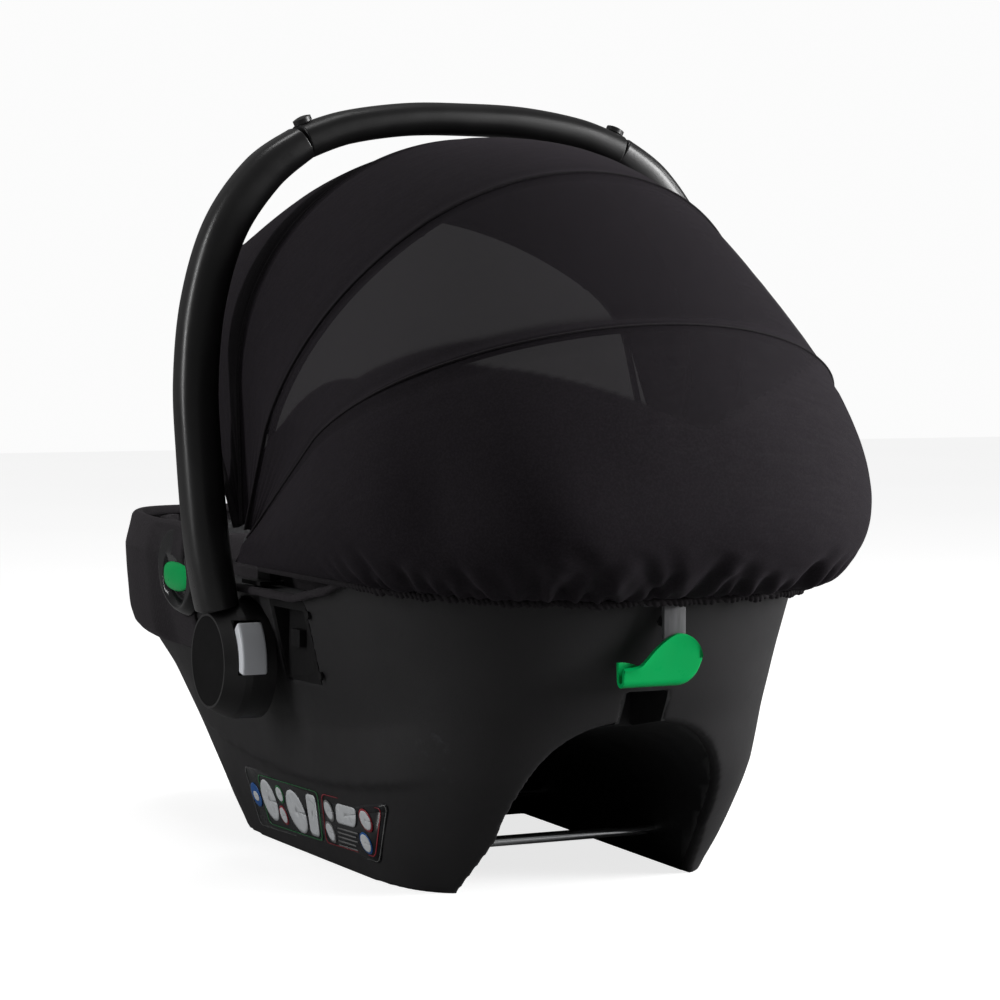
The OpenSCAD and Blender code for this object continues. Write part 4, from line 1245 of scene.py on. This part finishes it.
def belt_bezel(side, node):
    """Dished oval moulding over the cover: a round glossy rim with a recess for the belt hook."""
    rho = np.concatenate([np.linspace(0.02, 0.56, 8), np.linspace(0.6, 1.0, 22)])
    a = np.linspace(0, 2 * math.pi, 97)
    r, phi = np.meshgrid(rho, a, indexing="ij")
    half_long, half_tall, dish = 39.5, 34, 0.62
    y = BELT_Y + half_long * r * np.cos(phi)
    z = BELT_Z - 1 + half_tall * r * np.sin(phi)
    t = np.clip((r - dish) / (1 - dish), 0, 1)
    h = 1.4 + 7.6 * np.sin(math.pi * t) ** 0.8 * (r > dish)
    x = np.minimum(np.maximum(side_x(y, z), 168) + h + 1.0, 181.6)
    x = np.where(r > 0.985, 171.8, x)
    piece = grid(node.replace("belt_housing", "belt_bezel"), np.stack([side * x, y, z], -1))
    outward(piece, lambda bm: bmesh.ops.remove_doubles(bm, verts=bm.verts, dist=0.00012))
    thicken(faced(piece, 10, (side, 0, 0)), 1.6)
    piece.data.shade_smooth()
    fit_out(piece, "glossy", "carrier", "side_plastic", node)


def belt_hook(side, name):
    """Green guide: a thick half-round lip the lap belt slides under."""
    half_long, half_tall, half_deep, middle_x = 27, 11.5, 3.6, 179.2
    v = around(26)
    rings = []
    for t in np.linspace(-1, 1, 60):
        width = math.sqrt(max(1e-4, 1 - t * t)) ** 0.55
        z = BELT_Z - 3 + half_tall * width * powered(np.sin(v), 0.75) - 0.8 * (1 - t * t)
        x = middle_x + half_deep * width * powered(np.cos(v), 0.75)
        rings.append(np.stack([side * x, np.full(len(v), BELT_Y + half_long * t), z], -1))
    guides = ["belt_guides"] if side > 0 else []
    return fit_out(loft(name, rings), "green", "carrier", "release_green", *guides)


def on_side(outlines, lift, side):
    """Outlines in y and z, laid on the shell's side and lifted off it."""
    return np.stack([np.stack([side * (side_x(r[:, 0], r[:, 1]) + lift), r[:, 0], r[:, 1]], -1)
                     for r in outlines])


def decal(name, outline, lift, material, side):
    """Thin printed shape on the shell's side; outline is in y and z."""
    outline = np.asarray(outline, float)
    centre = outline.mean(0)
    rings = [centre + (outline - centre) * k for k in (0.02, 0.3, 0.6, 0.85, 1.0)]
    return finish_decal(grid(name, on_side(rings, lift, side)), material, side)


def finish_decal(piece, material, side):
    """Turns a printed shape outwards, thickens it to a film and rides it on the shell."""
    piece = thicken(faced(piece, 0, (side, 0, 0)), 0.25)
    return fit_out(piece, material, "carrier", "sticker_film")


def oval(y, z, ry, rz):
    a = np.linspace(0, 2 * math.pi, 41)
    return np.stack([y + ry * np.cos(a), z + rz * np.sin(a)], -1)


def frame_line(name, outline, width, lift, material, side):
    """Thin printed frame that follows an outline."""
    outline = np.asarray(outline, float)
    centre = outline[:-1].mean(0)
    arm = outline - centre
    inner = centre + arm * (1 - width / np.linalg.norm(arm, axis=1))[:, None]
    rings = (outline, (outline + inner) / 2, inner)
    return finish_decal(grid(name, on_side(rings, lift, side)), material, side)


# corners of the label's own surface: bottom left, bottom right, top right, top left
LABEL = np.array([[-97, 9], [132, 15], [167, 62], [-94, 57]], float)


def on_label(u, v):
    """Place in y and z at shares u across and v up the label."""
    u, v = np.asarray(u, float)[..., None], np.asarray(v, float)[..., None]
    return (LABEL[0] * (1 - u) + LABEL[1] * u) * (1 - v) + (LABEL[3] * (1 - u) + LABEL[2] * u) * v


def label_patch(u0, u1, v0, v1, r):
    """Rounded four-sided outline between places across and up the label."""
    pts = []
    tall = r * 5.2
    for u, v, start in ((u1 - r, v1 - tall, 0), (u0 + r, v1 - tall, 90), (u0 + r, v0 + tall, 180),
                        (u1 - r, v0 + tall, 270)):
        for k in range(7):
            a = math.radians(start + 15 * k)
            pts.append((u + r * math.cos(a), v + tall * math.sin(a)))
    pts.append(pts[0])
    p = np.array(pts)
    return on_label(p[:, 0], p[:, 1])


def label_oval(u, v, ry, rz):
    y, z = on_label(u, v)
    return oval(y, z, ry, rz)


def stickers():
    """Plain label: dark film with a round mark, ovals and two coloured frames, and no lettering."""
    top, low = 1.0, 0.7
    for side, tag in ((1, "near"), (-1, "far")):
        film = decal(f"label_{tag}", label_patch(0, 1, 0, 1, 0.022), low, "label", side)
        if side > 0:
            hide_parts("side_stickers")
        frame_line(f"edge_{tag}", label_patch(0.004, 0.996, 0.02, 0.98, 0.02), 0.6, top, "label_rule",
                   side)
        decal(f"mark_{tag}", label_oval(0.05, 0.54, 10, 9.5), top, "label_blue", side)
        decal(f"mark_core_{tag}", label_oval(0.05, 0.52, 5.5, 3.8), top + 0.3, "label_white", side)
        for colour, u0, u1, width in (("green", 0.105, 0.575, 1.5), ("red", 0.6, 0.972, 1.1)):
            frame_line(f"frame_{colour}_{tag}", label_patch(u0, u1, 0.09, 0.92, 0.02), width, top,
                       f"label_{colour}", side)
        ovals = [(0.165, 0.52, 14.5, 16), (0.385, 0.47, 17.5, 16.5)]
        for k, (u, v, ry, rz) in enumerate(ovals):
            decal(f"oval_{k}_{tag}", label_oval(u, v, ry, rz), top, "label_white", side)
        dots = [(0.265, 0.68, 7.5, 7, "label_green"), (0.265, 0.33, 7.5, 7.5, "label_red"),
                (0.648, 0.66, 8, 8, "label_rule"), (0.648, 0.3, 8, 8, "label_rule"),
                (0.895, 0.67, 9, 8.5, "label_red"), (0.905, 0.29, 8.5, 8, "label_blue")]
        for k, (u, v, ry, rz, ring) in enumerate(dots):
            decal(f"ring_{k}_{tag}", label_oval(u, v, ry, rz), top, ring, side)
            decal(f"dot_{k}_{tag}", label_oval(u, v, ry - 1.5, rz - 1.5), top + 0.3, "label_white", side)
        decal(f"field_0_{tag}", label_patch(0.478, 0.552, 0.14, 0.84, 0.018), top, "label_white", side)
        decal(f"field_1_{tag}", label_patch(0.7, 0.835, 0.5, 0.83, 0.02), top, "label_white", side)
        for k in range(5):
            v = 0.4 - 0.072 * k
            line = label_patch(0.705, 0.85 - 0.012 * (k % 2), v, v + 0.022, 0.003)
            decal(f"rule_{k}_{tag}", line, top, "label_rule", side)


# ---------------------------------------------------------------- CAD nodes that stay

KEPT = {
    "tunnel": ["lever_channel"],
    "foam": ["epp_liner"],
    "chrome": ["rear_bar", "front_bar"],
    "hub": ["hub_left", "hub_right"],
    "cap": ["hub_caps"],
    "handle": ["handle_rest_feet"],
    "side": ["buckle_body", "adjuster_body"],
    "recess": ["adapter_socket_left", "adapter_socket_right", "adapter_latch_left", "adapter_latch_right",
               "canopy_brackets", "socket_screws", "lever_spring"],
    "steel": ["buckle_tongues", "button_springs", "ratchet_rings", "pivot_bolts", "lever_pin",
              "canopy_pins"],
    "wire": ["bow_rear", "bow_mid", "bow_front", "bow_visor"],
    "bracket": ["lever_bracket"],
    "red": ["buckle_button"],
    "button": ["adjuster_button"],
    "webbing": ["adjuster_strap"],
}


def keep_cad():
    """Materials for the CAD nodes that are shown as they are."""
    for material, names in KEPT.items():
        for name in names:
            paint(frame["nodes"][name], material)


# ---------------------------------------------------------------- stage

def stage():
    """Pale floor and backdrop."""
    floor = bpy.data.objects.new("floor", bpy.data.meshes.new("floor"))
    reach = 8.0
    corners = [(-reach, -reach, 0), (reach, -reach, 0), (reach, reach, 0), (-reach, reach, 0)]
    floor.data.from_pydata(corners, [], [(0, 1, 2, 3)])
    bpy.context.scene.collection.objects.link(floor)
    m = Nodes("floor_paint", (0.86, 0.86, 0.86), 0.9)
    # seen pale by the camera, and reflecting less of the light up under the object
    seen = m.node("ShaderNodeLightPath").outputs["Is Camera Ray"]
    pale = m.ramp(m.noise(1.5, 2), (0.3, (0.52, 0.52, 0.52)), (0.7, (0.55, 0.55, 0.55)))
    m.colour(m.mix(seen, (0.3, 0.3, 0.3), pale))
    m.shader.inputs["Emission Color"].default_value = (1, 1, 1, 1)
    m.tree.links.new(m.math("MULTIPLY", seen, 0.78), m.shader.inputs["Emission Strength"])
    floor.data.materials.append(m.material)
    world = bpy.data.worlds.new("studio")
    world.use_nodes = True
    tree = world.node_tree
    back = tree.nodes["Background"]
    back.inputs["Color"].default_value = (1.0, 1.0, 1.0, 1)
    # the backdrop is seen pale, and lights the object as a dim room with a bright ceiling
    way = add_node(tree, "ShaderNodeTexCoord").outputs["Generated"]
    aim = add_node(tree, "ShaderNodeSeparateXYZ", {"Vector": way}).outputs["Z"]
    height = add_node(tree, "ShaderNodeMapRange", {"Value": aim, "From Min": -0.2, "From Max": 1.0,
                                                   "To Min": 0.1, "To Max": 0.26}).outputs["Result"]
    seen = add_node(tree, "ShaderNodeLightPath").outputs["Is Camera Ray"]
    level = add_node(tree, "ShaderNodeMapRange", {"Value": seen, "To Min": height, "To Max": 0.97})
    tree.links.new(level.outputs["Result"], back.inputs["Strength"])
    bpy.context.scene.world = world
    bpy.context.scene.view_settings.view_transform = "Standard"


def lamp(name, place, aim, size, power):
    light = bpy.data.lights.new(name, "AREA")
    light.shape = "RECTANGLE"
    light.size, light.size_y = size
    light.energy = power
    obj = bpy.data.objects.new(name, light)
    obj.location = place
    obj.rotation_mode = "QUATERNION"
    obj.rotation_quaternion = (Vector(aim) - Vector(place)).to_track_quat("-Z", "Y")
    bpy.context.scene.collection.objects.link(obj)


def lights():
    """A soft box behind to the right, strips at the sides and a small one overhead."""
    middle = (0, 0, 0.28)
    lamp("right", (-2.2, 1.8, 1.1), middle, (0.9, 1.5), 100)
    lamp("top", (0.2, -0.5, 2.8), middle, (1.1, 0.6), 13)
    lamp("far", (-2.5, 0.4, 0.9), middle, (0.5, 1.8), 20)
    lamp("left", (2.5, -0.6, 1.0), middle, (0.18, 1.9), 30)


def camera():
    """The view from behind and to the child's left, a little above the hood's middle."""
    data = bpy.data.cameras.new("camera")
    data.lens, data.sensor_width = 108, 36
    data.clip_start, data.clip_end = 0.05, 50
    cam = bpy.data.objects.new("camera", data)
    cam.location = to_frame([[966, 2045, 380]])[0]
    turn, tilt = math.radians(26), math.radians(3)
    ahead = Vector((-math.sin(turn) * math.cos(tilt), -math.cos(turn) * math.cos(tilt), -math.sin(tilt)))
    cam.rotation_mode = "QUATERNION"
    cam.rotation_quaternion = ahead.to_track_quat("-Z", "Y")
    bpy.context.scene.collection.objects.link(cam)
    bpy.context.scene.camera = cam


camera()
lights()
stage()
keep_cad()
shell_body()
tunnel()
handle()
memory_button(1, "memory_key_left", "memory_button_left")
memory_button(-1, "memory_key_right", "memory_button_right")
lever_hook()
canopy()
seat_cover()
newborn_insert()
head_support()
foot_cover()
rim_roll()
harness()
for side, node in ((1, "belt_housing_left"), (-1, "belt_housing_right")):
    belt_bezel(side, node)
    belt_hook(side, "belt_hook_left" if side > 0 else "belt_hook_right")
stickers()
